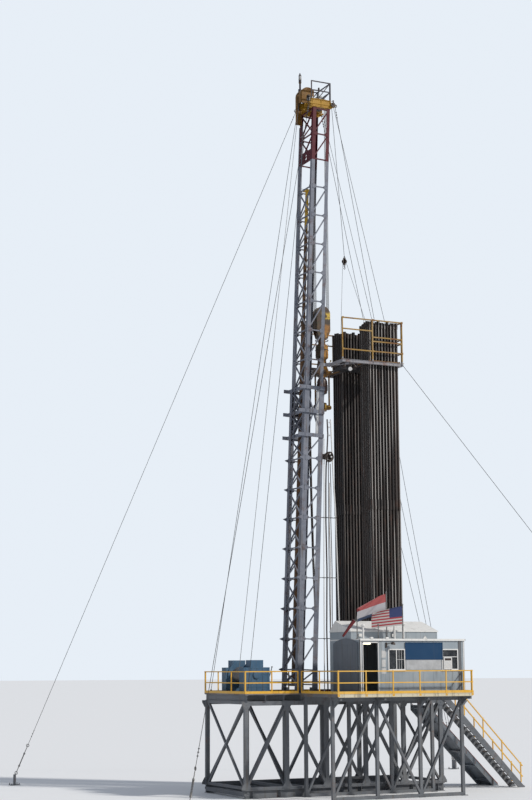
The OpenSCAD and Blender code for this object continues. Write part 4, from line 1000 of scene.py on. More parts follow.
def block_side_guards():
    """Raised rims of the side plates, and the straps and end plates between them."""
    s = Shape()
    top = BLOCK_TOP
    for side in SIDES:
        y0, y1 = side * (BLOCK_FACE + 0.006), side * (BLOCK_FACE - 0.006)
        s.box((W - 0.37, y0, top - 1.24), (W + 0.37, y1, top - 1.18))
        for x in (W - 0.385, W + 0.373):
            s.box((x, y0, top - 1.24), (x + 0.012, y1, top - 0.42))
    for x in (W - 0.398, W + 0.398):
        for z in (top - 0.62, top - 0.92, top - 1.2):
            s.block((x, 0, z), (0.008, BLOCK_FACE - 0.01, 0.02))
        s.block((x, 0, top - 0.91), (0.006, BLOCK_FACE * 0.6, 0.31))
    block_piece(s, "block_side_guards", "gear_paint", smooth=False)


def hook_body_bands():
    """Bands and bolts round the body of the hook."""
    s = Shape()
    top = BLOCK_FOOT
    s.ring((W, 0, top - 0.10), UP, 0.335, 0.022, 28)
    s.ring((W, 0, top - 0.62), UP, 0.335, 0.020, 28)
    for dx, dy in round_circle(12, 0.325):
        s.bolt((W + dx, dy, top - 0.34), (dx, dy, 0), 0.022, 0.022)
        s.bolt((W + dx, dy, top - 0.86), (dx, dy, 0), 0.018, 0.018)
    block_piece(s, "hook_body_bands", "dark_steel")


def hook_latch():
    """Pin caps of the hook, its latch bar and box, and the lever with its knob."""
    s = Shape()
    z = BLOCK_TOP - 3.48
    for side in SIDES:
        out = (0, side, 0)
        s.cap((W, side * 0.14, z + 0.42), out, 0.075, 0.02, 0.04, 0.03, 16)
        s.bolt((W, side * 0.16, z + 0.42), out, 0.03, 0.025)
    s.path([(W + 0.24, 0, z + 0.30), (W + 0.20, 0, z + 0.12), (W + 0.27, 0, z - 0.02)], 0.028)
    s.block((W + 0.25, 0, z + 0.31), (0.05, 0.035, 0.05))
    s.rod((W + 0.27, -0.02, z + 0.31), (W + 0.49, -0.05, z + 0.60), 0.014)
    s.ball((W + 0.49, -0.05, z + 0.62), 0.05)
    block_piece(s, "hook_latch", "yellow_gear")


def swivel_body():
    """Swivel under the hook: its turned body, the bolts of its cover and two lugs."""
    s = Shape()
    body = [(0, 0), (0.10, 0), (0.11, 0.10), (0.24, 0.16), (0.27, 0.30), (0.27, 0.78), (0.22, 0.92), (0.13, 1.02),
            (0.10, 1.20), (0, 1.20)]
    s.turned(body, (W, 0, BLOCK_TOP - 4.78), UP, 28)
    for dx, dy in round_circle(10, 0.265):
        s.bolt((W + dx, dy, BLOCK_TOP - 4.30), (dx, dy, 0), 0.02, 0.02)
    for side in SIDES:
        s.block((W + side * 0.27, 0, BLOCK_TOP - 4.30), (0.03, 0.05, 0.15))
    block_piece(s, "swivel_body", "dark_gear")


def elevator_latch():
    """Bands of the links, and the bands, pins and latch of the elevator."""
    s = Shape()
    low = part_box("hook_and_links")[0].z
    for x in (W - 0.40, W + 0.40):
        for z in (low + 0.62, low + 1.0, low + 1.5):
            s.ring((x, 0, z), UP, 0.047, 0.012, 14, 6)
        for side in SIDES:
            s.bolt((x, side * 0.11, low + 0.21), (0, side, 0), 0.03, 0.03)
    for z in (low + 0.36, low + 0.06):
        s.ring((W, 0, z), UP, 0.222, 0.012, 24, 6)
    s.box((W + 0.02, -0.27, low + 0.10), (W + 0.10, -0.21, low + 0.32))
    handle = [(0.06, -0.26, 0.20), (0.16, -0.36, 0.22), (0.28, -0.36, 0.22), (0.34, -0.28, 0.21)]
    s.path([(W + x, y, low + z) for x, y, z in handle], 0.014)
    block_piece(s, "elevator_latch", "yellow_gear")


def running_lines():
    """The lines of the travelling block: round rods in place of the lines of the CAD, which are hidden."""
    lo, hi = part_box("drill_lines")
    r, count = 0.013, 4
    s = Shape()
    for y in steps(lo.y + r, (hi.y - lo.y - 2 * r) / (count - 1), count):
        for x in (lo.x + r, hi.x - r):
            s.rod((x, y, lo.z), (x, y, hi.z), r, 12)
    lines = s.finish("running_lines", "bright_steel", body=None, slot="bright_steel", smooth=True)
    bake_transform(lines)
    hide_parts("drill_lines")


# Racking board


def board_beam_lips():
    """Flanges, ribs and bolts of the board's two outer beams."""
    s = Shape()
    for side in SIDES:
        y = side * 2.21
        for x in steps(-0.95, 0.5, 7):
            for z in (BOARD_Z - 0.05, BOARD_Z - 0.11):
                s.bolt((x, y, z), (0, side, 0), 0.014, 0.012)
        for z in (BOARD_Z - 0.012, BOARD_Z - 0.15):
            s.box((-1.20, y - 0.012, z), (2.35, y + side * 0.03, z + 0.012))
        for x in (-0.6, 0.6, 1.8):
            s.box((x - 0.006, y, BOARD_Z - 0.14), (x + 0.006, y + side * 0.025, BOARD_Z - 0.01))
    s.finish("board_beam_lips", "board_white", slot="board_white")


def cage_post_plates():
    """Foot plates and rail joints of the cage's posts."""
    s = Shape()
    for side in SIDES:
        for x in (-1.16, 0.60, 2.32):
            s.block((x, side * 2.18, BOARD_Z + 0.006), (0.09, 0.04, 0.006))
            for dx in (-0.065, 0.065):
                s.bolt((x + dx, side * 2.19, BOARD_Z + 0.012), UP, 0.012)
            for z in (0.53, 2.17):
                s.block((x, side * 2.215, BOARD_Z + z), (0.05, 0.006, 0.05))
    s.finish("cage_post_plates", "cage_ochre", slot="ochre")


def finger_latches():
    """Hinge blocks at the roots of the fingers and latches at their ends."""
    s = Shape()
    for side in SIDES:
        for x in steps(STAND_X - STAND_PITCH / 2, STAND_PITCH, 11):
            s.block((x, side * 2.06, BOARD_Z + 0.085), (0.028, 0.05, 0.015))
            s.bolt((x, side * 2.06, BOARD_Z + 0.10), UP, 0.016, 0.018)
            s.block((x, side * 1.02, BOARD_Z + 0.10), (0.012, 0.03, 0.03))
    s.finish("finger_latches", "dark_steel", slot="rail_yellow")


def diving_board_grating():
    """Bars of the grating on the middle walk."""
    s = Shape()
    for x in steps(-0.26, 0.105, 24):
        s.box((x, -0.345, BOARD_Z + 0.002), (x + 0.006, 0.345, BOARD_Z + 0.028))
    for y in (-0.34, 0.0, 0.34):
        s.box((-0.28, y - 0.004, BOARD_Z + 0.002), (2.22, y + 0.004, BOARD_Z + 0.03))
    s.finish("diving_board_grating", "dark_steel")


def board_cross_ties():
    """Ties under the board, from its middle walk to its outer beams."""
    s = Shape()
    for side in SIDES:
        for x in steps(-0.9, 0.60, 6):
            s.box((x, side * 2.10, BOARD_Z - 0.13), (x + 0.05, side * 0.36, BOARD_Z - 0.07))
    s.finish("board_cross_ties", "dark_steel", slot="board_white")


PLATE_AT = Vector((-0.81, -2.26, 21.13))


def bare_round_plate():
    s = Shape()
    s.cap(PLATE_AT, (-0.3, -1, 0), 0.105, 0.02, 0.09, 0.035)
    s.finish("bare_round_plate", "white_paint")


def board_lamps():
    """Two lamps under the near beam, and the hanger of the round plate."""
    s = Shape()
    at, under = PLATE_AT, BOARD_Z - 0.14
    s.rod(at + Vector((0, 0.03, 0.05)), (at.x, at.y + 0.05, under), 0.014)
    s.box((at.x - 0.03, at.y + 0.02, under - 0.03), (at.x + 0.03, at.y + 0.09, under))
    s.path([at + Vector(p) for p in ((0.01, 0.0, -0.10), (0.03, 0.0, -0.16), (0.0, 0.0, -0.20))], 0.012, 6)
    for x, y, r in ((-1.05, -2.1, 0.12), (-0.45, -2.15, 0.10)):
        s.turned([(0, 0), (r, 0), (r * 0.8, 0.12), (0.03, 0.16), (0, 0.16)], (x, y, BOARD_Z - 0.42), (-0.2, 0.3, 1), 18)
        s.rod((x, y, BOARD_Z - 0.28), (x, y + 0.05, BOARD_Z - 0.13), 0.015, 6)
    s.finish("board_lamps", "dark_steel", smooth=True)


PULLEY_AT = Vector((0.11, -0.10, 27.39))


def hung_pulley():
    """Pulley that hangs over the board: two cheeks, a sheave, its eyes and its hook."""
    s = Shape()
    at = PULLEY_AT
    for y in (-0.05, 0.05):
        s.turned([(0, 0), (0.13, 0), (0.13, 0.012), (0, 0.012)], at + Vector((0, y - 0.006, 0)), (0, 1, 0), 18)
        s.block(at + Vector((0, y, 0)), (0.05, 0.006, 0.20))
    s.turned([(0.02, -0.025), (0.11, -0.035), (0.09, 0), (0.11, 0.035), (0.02, 0.025)], at, (0, 1, 0), 18)
    s.ring(at + Vector((0, 0, 0.24)), (1, 0, 0), 0.05, 0.014, 14, 6)
    s.ring(at + Vector((0, 0, -0.25)), (1, 0, 0), 0.06, 0.016, 14, 6)
    hook = ((0, -0.30), (0.05, -0.36), (0, -0.43), (-0.06, -0.38))
    s.path([at + Vector((x, 0, z)) for x, z in hook], 0.018)
    s.finish("hung_pulley", "dark_steel", smooth=True)


def hung_pulley_lines():
    """Lines that hold the pulley: up to the crown, and to both ends of the board."""
    s = Shape()
    s.rod(PULLEY_AT + Vector((0, 0, 0.28)), (-0.64, -0.30, 35.70), 0.012, 6)
    s.rod(PULLEY_AT + Vector((0.10, 0, -0.02)), (2.25, -0.10, BOARD_Z + 0.05), 0.010, 6)
    s.rod(PULLEY_AT + Vector((-0.10, 0, 0.0)), (-0.50, -0.60, BOARD_Z + 0.02), 0.008, 6)
    s.finish("hung_pulley_lines", "dark_rope")


def pipe_end_rims():
    """Bare rims on the tops of the racked pipe."""
    s = Shape()
    rim = [(0.058, -0.05), (0.066, -0.05), (0.066, 0.0), (0.058, 0.006)]
    for side in SIDES:
        for i in range(10):
            for j in range(5):
                odd = 0.070 * math.sin(math.radians(137 * i + 71 * j))
                at = (STAND_X + STAND_PITCH * i, side * (1.96 - ROW_PITCH * j), FLOOR_Z + 18.90 + odd)
                s.turned(rim, at, UP, 12)
    s.finish("pipe_end_rims", "dull_steel", slot="pipe", smooth=True)


# Crew house. Its front wall faces -Y
FRONT, SIDE_END = -5.5, -2.45
HOUSE_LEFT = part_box("porch_panel")[1].x
HOUSE_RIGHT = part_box("low_roof")[1].x - 0.04
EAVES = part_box("low_roof")[0].z
WINDOWS = ((-0.69, 0.14), (2.31, 3.12))
SILL, LINTEL = 6.01, 6.91


def on_wall(s, out, into, *strips):
    """Flat strips x0, x1, z0, z1 on the front wall, from out before its face to into behind it."""
    for x0, x1, z0, z1 in strips:
        s.box((x0, FRONT - out, z0), (x1, FRONT + into, z1))


def window_frames():
    """Frames and sills of the two windows, with their dividing bars."""
    s = Shape()
    wide, foot = 0.055, SILL - 0.055
    for x0, x1 in WINDOWS:
        on_wall(s, 0.03, 0.02, (x0 - wide, x0, foot, LINTEL + wide), (x1, x1 + wide, foot, LINTEL + wide),
                (x0, x1, foot, SILL), (x0, x1, LINTEL, LINTEL + wide))
        on_wall(s, 0.06, 0, (x0 - wide - 0.03, x1 + wide + 0.03, foot - 0.025, foot))
    on_wall(s, 0.012, 0.03, (-0.30, -0.26, SILL, LINTEL), (2.79, 2.82, SILL, 6.57), (2.31, 3.12, 6.57, 6.60))
    s.finish("window_frames", "white_paint", slot="white_paint")


def window_bars():
    """Round bars across the left window."""
    s = Shape()
    y = FRONT + 0.012
    for x in (-0.13, 0.0):
        s.rod((x, y, SILL), (x, y, LINTEL), 0.009, 6)
    s.rod((-0.26, y, 6.46), (0.14, y, 6.46), 0.009, 6)
    s.finish("window_bars", "white_paint")


def corner_trims():
    """Trims at both front corners, and the grey post beside the right one."""
    s = Shape()
    left = HOUSE_LEFT - 0.012
    for x in (left, HOUSE_RIGHT - 0.05):
        on_wall(s, 0.014, 0.05, (x, x + 0.07, FLOOR_Z, EAVES))
    for x in (left, HOUSE_RIGHT):
        on_wall(s, 0.014, 0.06, (x, x + 0.012, FLOOR_Z, EAVES))
    s.finish("corner_trims", "white_paint", slot="white_paint")
    s = Shape()
    on_wall(s, 0.02, 0, (HOUSE_RIGHT - 0.32, HOUSE_RIGHT - 0.16, FLOOR_Z, EAVES - 0.02))
    s.finish("grey_corner_post", "steel_grey", slot="steel_grey")


def door_frame():
    s = Shape()
    on_wall(s, 0.025, 0, (-2.135, -2.10, FLOOR_Z, 7.31), (-1.29, -1.255, FLOOR_Z, 7.31), (-2.135, -1.255, 7.25, 7.29))
    on_wall(s, 0.03, 0.08, (-2.10, -1.29, FLOOR_Z, FLOOR_Z + 0.012))
    s.finish("door_frame", "white_paint", slot="white_paint")


def wall_seams():
    """Upright seams of the wall sheets, left out where the door and the windows are, and the foot strip."""
    s = Shape()
    openings = ((-2.2, -1.2), (-0.78, 0.22), (2.22, 3.2))
    pitch = (HOUSE_RIGHT - HOUSE_LEFT) / 10
    for x in steps(HOUSE_LEFT + pitch, pitch, 9):
        if not any(x0 < x < x1 for x0, x1 in openings):
            on_wall(s, 0.008, 0, (x - 0.012, x + 0.012, FLOOR_Z + 0.1, EAVES))
    pitch = (SIDE_END - FRONT - 0.07) / 5
    for y in steps(FRONT + 0.07 + pitch, pitch, 4):
        s.box((HOUSE_RIGHT, y - 0.012, FLOOR_Z + 0.1), (HOUSE_RIGHT + 0.008, y + 0.012, EAVES))
    on_wall(s, 0.012, 0, (-1.22, HOUSE_RIGHT, FLOOR_Z, FLOOR_Z + 0.12))
    s.finish("wall_seams", "house_paint", slot="house_paint")


def roof_edge_trim():
    s = Shape()
    low, high, out = EAVES - 0.03, EAVES + 0.066, FRONT - 0.062
    s.box((HOUSE_LEFT - 0.02, out, low), (HOUSE_RIGHT + 0.06, out + 0.022, high))
    s.box((HOUSE_RIGHT + 0.04, out, low), (HOUSE_RIGHT + 0.062, SIDE_END, high))
    s.finish("roof_edge_trim", "roof_paint", slot="roof_paint")


def sign_edges():
    """The pale plate under the bare sign, and the raised edge of the sign."""
    s = Shape()
    on_wall(s, 0.03, -0.008, (0.24, 2.20, 5.97, 6.46))
    s.finish("pale_plate_under_sign", "plate_grey", slot="board_white")
    s = Shape()
    on_wall(s, 0.045, -0.028, (0.19, 2.29, 6.45, 6.48), (0.19, 2.29, 7.24, 7.27),
            (0.19, 0.22, 6.45, 7.27), (2.26, 2.29, 6.45, 7.27))
    s.finish("sign_edge", "sign_blue", slot="sign_blue")


def wall_lamp():
    """Lamp on a bent arm beside the doorway."""
    s = Shape()
    on_wall(s, 0.05, 0, (-0.88, -0.80, 7.02, 7.26))
    s.rod((-0.84, FRONT - 0.04, 7.18), (-0.62, FRONT - 0.20, 7.26), 0.018)
    shade = [(0, 0), (0.11, 0), (0.09, 0.08), (0.03, 0.14), (0, 0.14)]
    s.turned(shade, (-0.58, FRONT - 0.22, 7.16), (0.1, -0.1, 1), 18)
    s.finish("wall_lamp", "dark_steel", smooth=True)


def bare_notices():
    s = Shape()
    on_wall(s, 0.006, 0, (-1.12, -0.86, 6.55, 6.88), (-1.10, -0.88, 6.12, 6.46), (-1.12, -0.86, 5.80, 6.05))
    s.finish("bare_notices", "notice_white")


def roof_vents():
    """Three capped vents and small fittings on the low roof."""
    s = Shape()
    roof = 7.44
    for x, y, r, z in ((-1.91, -5.20, 0.09, 8.02), (-0.02, -4.9, 0.10, 8.12), (0.44, -4.95, 0.11, 8.10)):
        s.rod((x, y, roof), (x, y, z), r * 0.5, 12)
        s.turned([(0, 0), (r, 0), (r * 1.3, 0.05), (r * 0.5, 0.12), (0, 0.13)], (x, y, z), UP, 18)
    for x in (-1.76, 0.08):
        s.box((x - 0.08, -4.66, 7.56), (x + 0.08, -4.60, 7.70))
    on_wall(s, 0.09, 0.05, (-1.72, -1.58, roof, 7.52), (-0.88, -0.74, roof, 7.52))
    s.plate([(-0.12, 0), (0.12, 0), (0, 0.16)], 0.05, Matrix.Translation((1.30, FRONT - 0.02, roof)) @ UPRIGHT)
    s.finish("roof_vents", "roof_paint", slot="roof_paint", smooth=True)


def air_conditioner_front():
    """Louvres, edges and grille of the air conditioner."""
    lo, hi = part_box("air_conditioner")
    s = Shape()
    for z in steps(lo.z + 0.05, 0.028, 12):
        s.box((lo.x + 0.04, lo.y - 0.008, z), (hi.x - 0.04, lo.y, z + 0.012))
    for z in (lo.z - 0.012, hi.z):
        s.box((lo.x - 0.01, lo.y - 0.012, z), (hi.x + 0.01, hi.y, z + 0.012))
    s.finish("air_conditioner_louvres", "white_paint", slot="white_paint")
    s = Shape()
    s.box((lo.x + 0.05, lo.y - 0.004, lo.z + 0.40), (hi.x - 0.05, lo.y + 0.001, hi.z - 0.05))
    s.finish("air_conditioner_grille", "dark_steel")


def doorway_lamp():
    s = Shape()
    s.rod((-2.06, -5.36, 7.20), (-1.62, -5.36, 7.20), 0.022, 10)
    s.box((-2.07, -5.39, 7.22), (-1.61, -5.33, 7.245))
    s.finish("doorway_lamp", "lamp_white")


def panel_seams():
    """Seams and bolt rows of the grey panel beside the doorway."""
    lo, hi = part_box("porch_panel")
    s = Shape()
    pitch = (hi.y - lo.y) / 5
    for y in steps(lo.y + pitch, pitch, 4):
        s.box((lo.x - 0.006, y - 0.010, lo.z + 0.05), (lo.x, y + 0.010, 7.22))
    for y in steps(lo.y + 0.12, 0.32, 8):
        for z in (lo.z + 0.15, 7.15):
            s.bolt((lo.x, y, z), (-1, 0, 0), 0.012, 0.010)
    # The seams take the porch panel's darker grey, painted shade
    s.finish("panel_seams", "porch_grey", slot="house_paint")


def door_panels():
    """Raised edges of the door's two panels."""
    lo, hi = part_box("door")
    s = Shape()
    x = hi.x
    for z0, z1 in ((lo.z + 0.15, lo.z + 1.0), (lo.z + 1.15, hi.z - 0.15)):
        for y in (lo.y + 0.16, hi.y - 0.20):
            s.box((x, y, z0), (x + 0.006, y + 0.03, z1))
        for z in (z0, z1 - 0.03):
            s.box((x, lo.y + 0.16, z), (x + 0.006, hi.y - 0.17, z + 0.03))
    s.finish("door_panels", "house_paint", "door_leaf", slot="house_paint")


def door_handle():
    lo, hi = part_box("door")
    s = Shape()
    x, y, z, out = hi.x, hi.y - 0.16, lo.z + 1.07, 0.05
    s.box((x, y - 0.03, z - 0.09), (x + 0.012, y + 0.03, z + 0.09))
    s.rod((x, y, z), (x + out, y, z), 0.010)
    s.rod((x + out, y, z), (x + out, y - 0.12, z), 0.010)
    s.finish("door_handle", "dull_steel", "door_leaf", smooth=True)


# Substructure, floor, stair and ramp


def substructure_gussets():
    """Bolted plates where the posts of the substructure meet its beams."""
    s = Shape()
    lo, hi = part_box("substructure_sides")
    thick = 0.014
    for side, y in ((-1, lo.y), (1, hi.y)):
        for x in steps(lo.x + 0.1, (hi.x - lo.x - 0.2) / 5, 6):
            for z, up in ((lo.z, 1), (hi.z, -1)):
                edge, point = 0.10 * up, 0.34 * up
                outline = [(-0.26, 0), (0.26, 0), (0.26, edge), (0.12, point), (-0.12, point), (-0.26, edge)]
                s.plate(outline, thick, Matrix.Translation((x, y + (thick if side > 0 else 0), z)) @ UPRIGHT)
                for dx, dz in ((-0.19, 0.06), (0.19, 0.06), (-0.08, 0.28), (0.08, 0.28), (0, 0.16)):
                    s.bolt((x + dx, y + side * thick, z + dz * up), (0, side, 0), 0.018, 0.016)
    s.finish("substructure_gussets", "steel_grey", slot="steel_grey")


def skid_ribs_and_eyes():
    """Ribs in the outer channels of the base skids, and the pulling eyes at their ends."""
    s = Shape()
    lo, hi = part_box("base_frame")
    for side, y in ((-1, lo.y), (1, hi.y)):
        for x in steps(lo.x + 0.4, (hi.x - lo.x - 0.8) / 7, 8):
            s.box((x - 0.008, y, 0.03), (x + 0.008, y - side * 0.12, 0.37))
        for x in (lo.x + 0.12, hi.x - 0.12):
            s.ring((x, y + side * 0.02, 0.22), (0, 1, 0), 0.07, 0.018, 16)
    s.finish("skid_ribs_and_eyes", "steel_grey", slot="steel_grey", smooth=True)


def support_feet_and_brackets():
    """Bolted feet of the posts under the house, and the knee plates at their tops."""
    s = Shape()
    for x in steps(-3.725, 7.07 / 3, 4):
        for y in (-5.48, -2.72):
            s.box((x - 0.17, y - 0.10, 0.0), (x + 0.17, y + 0.25, 0.022))
            for dx in (-0.13, 0.13):
                s.bolt((x + dx, y - 0.05, 0.022), UP, 0.016, 0.02)
        s.plate([(0, 0), (0.35, 0), (0, -0.35)], 0.012, Matrix.Translation((x, -5.48, 4.50)) @ UPRIGHT)
        turn = UPRIGHT @ Matrix.Rotation(math.pi / 2, 4, "Y")
        s.plate([(0, 0), (-0.65, 0), (0, -0.45)], 0.012, Matrix.Translation((x, -5.48, 4.72)) @ turn)
    s.finish("support_feet_and_brackets", "steel_grey", slot="steel_grey")


def walkway_rail_clamps():
    """Foot plates with bolts, and rail joints, on the posts of the walkway's railing."""
    s = Shape()
    y = -6.325
    for x in steps(-3.875, 7.29 / 5, 6):
        s.box((x - 0.06, y - 0.02, FLOOR_Z - 0.12), (x + 0.06, y - 0.035, FLOOR_Z + 0.10))
        for z in (-0.09, -0.04, 0.07):
            for dx in (-0.035, 0.035):
                s.bolt((x + dx, y - 0.035, FLOOR_Z + z), (0, -1, 0), 0.010, 0.010)
        for z in (0.51, 1.045):
            s.block((x, y, FLOOR_Z + z), (0.04, 0.031, 0.035))
    s.finish("walkway_rail_clamps", "rail_yellow", slot="rail_yellow")


def walkway_edge():
    """Channel along the edge of the walkway, and the bars of its grating."""
    s = Shape()
    s.box((-3.90, -6.358, FLOOR_Z - 0.16), (3.44, -6.35, FLOOR_Z))
    for z in (FLOOR_Z - 0.16, FLOOR_Z - 0.015):
        s.box((-3.90, -6.375, z), (3.44, -6.35, z + 0.012))
    for x in steps(-3.7, 0.63, 12):
        s.box((x, -6.372, FLOOR_Z - 0.15), (x + 0.010, -6.355, FLOOR_Z - 0.01))
    s.finish("deck_edge_channel", "cream_paint", slot="board_white")
    s = Shape()
    for x in steps(-3.86, 0.25, 30):
        s.box((x, -6.27, FLOOR_Z), (x + 0.006, -5.53, FLOOR_Z + 0.006))
    s.finish("walkway_grating", "dark_steel", slot="floor_plate")


def floor_rail_clamps():
    """Foot plates and top clamps of the drill floor's railing posts."""
    s = Shape()
    for x in steps(-6.82, 1.56, 8):
        for side in SIDES:
            if side > 0 or x <= -4.0:
                y = side * 2.425
                s.box((x - 0.05, y - 0.035, FLOOR_Z), (x + 0.05, y + 0.035, FLOOR_Z + 0.012))
                s.box((x - 0.035, y - 0.030, FLOOR_Z + 1.01), (x + 0.035, y + 0.030, FLOOR_Z + 1.075))
    s.finish("floor_rail_clamps", "rail_yellow", slot="rail_yellow")


# Stair: its top front edge, and the rise and going of its steps
STAIR_X, STAIR_Z = 4.15, 4.88
RISE, GOING = 4.88 / 24, 4.75 / 24


def tread_nosings():
    """Nosings and grip strips of the treads."""
    s = Shape()
    for i in range(1, 24):
        x, z = STAIR_X + (i - 0.75) * GOING, STAIR_Z - i * RISE
        s.box((x + GOING - 0.012, -2.39, z - 0.045), (x + GOING + 0.004, -1.61, z + 0.006))
        for y in steps(-2.33, 0.13, 6):
            s.box((x + 0.01, y, z), (x + GOING - 0.02, y + 0.008, z + 0.010))
    s.finish("tread_nosings", "dull_steel", slot="floor_plate")


def stair_bolts():
    s = Shape()
    for i in range(1, 24):
        x, z = STAIR_X + (i - 0.35) * GOING, STAIR_Z - i * RISE - 0.02
        for y, side in ((-2.45, -1), (-1.55, 1)):
            for dx in (0, -0.09):
                s.bolt((x + dx, y, z), (0, side, 0), 0.012, 0.012)
    s.finish("stair_bolts", "steel_grey", slot="steel_grey")


# Pipe ramp: the top of its slope, and how high and how long it is
RAMP_TOP, RAMP_RUN = 4.23, 4.30
RAMP_LENGTH = math.hypot(RAMP_TOP, RAMP_RUN)
RAMP_START = Vector((4.15, 0, RAMP_TOP))
DOWN_RAMP = Vector((RAMP_RUN, 0, -RAMP_TOP)) / RAMP_LENGTH
OFF_RAMP = Vector((RAMP_TOP, 0, RAMP_RUN)) / RAMP_LENGTH


def ramp_strip(s, y, start, end, off, wide):
    """A flat bar down the ramp."""
    at = RAMP_START + Vector((0, y, 0)) + OFF_RAMP * off
    s.bar(at + DOWN_RAMP * start, at + DOWN_RAMP * (RAMP_LENGTH - end), 0.012, wide)


def ramp_strips():
    """Scraped top edges and wear strips of the ramp."""
    s = Shape()
    for y in (-0.76, 0.76):
        ramp_strip(s, y, 0.05, 0.1, 0.006, 0.088)
    s.finish("ramp_top_edges", "edge_red", slot="ramp_red")
    s = Shape()
    for y in steps(-0.60, 0.20, 7):
        ramp_strip(s, y, 0.06, 0.2, -0.038, 0.03)
    s.finish("ramp_wear_strips", "dull_steel")


def ramp_side_ribs():
    s = Shape()
    for side in SIDES:
        for d in steps(0.4, 0.75, 8):
            at = RAMP_START + DOWN_RAMP * d - OFF_RAMP * 0.12
            s.block((at.x, side * 0.80, at.z - 0.005), (0.008, 0.012, 0.095))
    s.finish("ramp_side_ribs", "ramp_red", slot="ramp_red")


def table_ring():
    """Bolted ring of the rotary table, and the bolts at its corners."""
    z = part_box("rotary_table")[1].z
    s = Shape()
    s.turned([(0.262, 0), (0.40, 0), (0.40, 0.02), (0.37, 0.03), (0.262, 0.03)], (W, 0, z), UP, 40)
    for dx, dy in round_circle(16, 0.345):
        s.bolt((W + dx, dy, z + 0.02), UP, 0.016, 0.018)
    for dx in (-0.53, 0.53):
        for dy in (-0.53, 0.53):
            s.bolt((W + dx, dy, z), UP, 0.03, 0.03)
    s.finish("table_ring", "dull_steel", slot="bright_steel", smooth=True)


def floor_plate_welds():
    s = Shape()
    top = FLOOR_Z + 0.003
    for x in steps(-5.475, 1.375, 7):
        for y0, y1 in ((-2.40, -0.75), (0.75, 2.40)):
            s.box((x - 0.004, y0, FLOOR_Z), (x + 0.004, y1, top))
    for y in (-1.2, 1.2):
        s.box((-4.6, y - 0.004, FLOOR_Z), (4.10, y + 0.004, top))
    s.finish("floor_plate_welds", "dark_steel", slot="floor_plate")


def shoe_pins():
    """Pins and anchor bolts of the mast's shoes."""
    lo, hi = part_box("mast_shoes")
    s = Shape()
    for side in SIDES:
        y0, y1 = side * hi.y, side * (hi.y + 0.05)
        for x in (lo.x + 0.18, hi.x - 0.14):
            s.rod((x, y0, lo.z + 0.14), (x, y1, lo.z + 0.14), 0.06, 16)
            s.bolt((x, y1, lo.z + 0.14), (0, side, 0), 0.035, 0.03)
        for x in steps(lo.x + 0.1, 0.3, 4):
            s.bolt((x, side * (hi.y - 0.03), lo.z + 0.03), UP, 0.02, 0.02)
    s.finish("shoe_pins", "dull_steel", slot="bright_steel", smooth=True)


# Drawworks: its drum's axis
DRUM_X, DRUM_Z = -5.70, FLOOR_Z + 0.90


def drum_rope_wraps():
    s = Shape()
    for y in steps(-0.70, 0.031, 46):
        s.ring((DRUM_X, y, DRUM_Z), (0.0, 1, 0.01), 0.366, 0.014, 32, 6)
    s.finish("drum_rope_wraps", "bright_steel", slot="bright_steel", smooth=True)


def drawworks_ribs():
    """Ribs, bolts and bearing covers on both ends of the drawworks."""
    s = Shape()
    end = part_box("drawworks")[1].y
    for side in SIDES:
        y, out = side * end, (0, side, 0)
        for x in steps(-6.30, 0.30, 5):
            s.box((x, y - 0.012, FLOOR_Z + 0.05), (x + 0.02, y + 0.012, FLOOR_Z + 1.22))
        for z in (FLOOR_Z + 0.3, FLOOR_Z + 0.9):
            s.box((-6.38, y - 0.010, z), (-5.02, y + 0.010, z + 0.02))
        for x in steps(-6.34, 0.18, 8):
            s.bolt((x, y, FLOOR_Z + 1.20), out, 0.014, 0.012)
        s.cap((DRUM_X, y, DRUM_Z), out, 0.20, 0.05, 0.10, 0.07)
        for dx, dz in round_circle(8, 0.16):
            s.bolt((DRUM_X + dx, y + side * 0.05, DRUM_Z + dz), out, 0.014)
    s.finish("drawworks_ribs", "works_blue", slot="works_blue", smooth=True)


def brake_lever():
    s = Shape()
    x, y = -4.72, -0.98
    s.rod((-5.0, y, FLOOR_Z + 0.35), (x, y, FLOOR_Z + 1.25), 0.022, 10)
    s.ball((x, y, FLOOR_Z + 1.27), 0.04)
    s.box((-5.02, y - 0.08, FLOOR_Z + 0.25), (-4.92, y + 0.08, FLOOR_Z + 0.42))
    s.finish("brake_lever", "dull_steel", smooth=True)


# Guys and anchors
ANCHOR_X, EYE_Z = 13.75, 0.52


def guy_ends():
    """Top and foot of each guy: from the crown's back, its front and the board, on each side."""
    lo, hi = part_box("crown_platform")
    ends = []
    for side in SIDES:
        ends += [
            ((lo.x + 0.05, side * GUY_Y, GUY_Z), (-ANCHOR_X, side * 12.0, EYE_Z)),
            ((hi.x - 0.05, side * GUY_Y, GUY_Z), (ANCHOR_X, 11.83 if side < 0 else 12.0, EYE_Z)),
            ((2.29, side * 2.25, BOARD_Z - 0.075), (ANCHOR_X, side * 12.17, EYE_Z)),
        ]
    return [(Vector(top), Vector(foot)) for top, foot in ends]


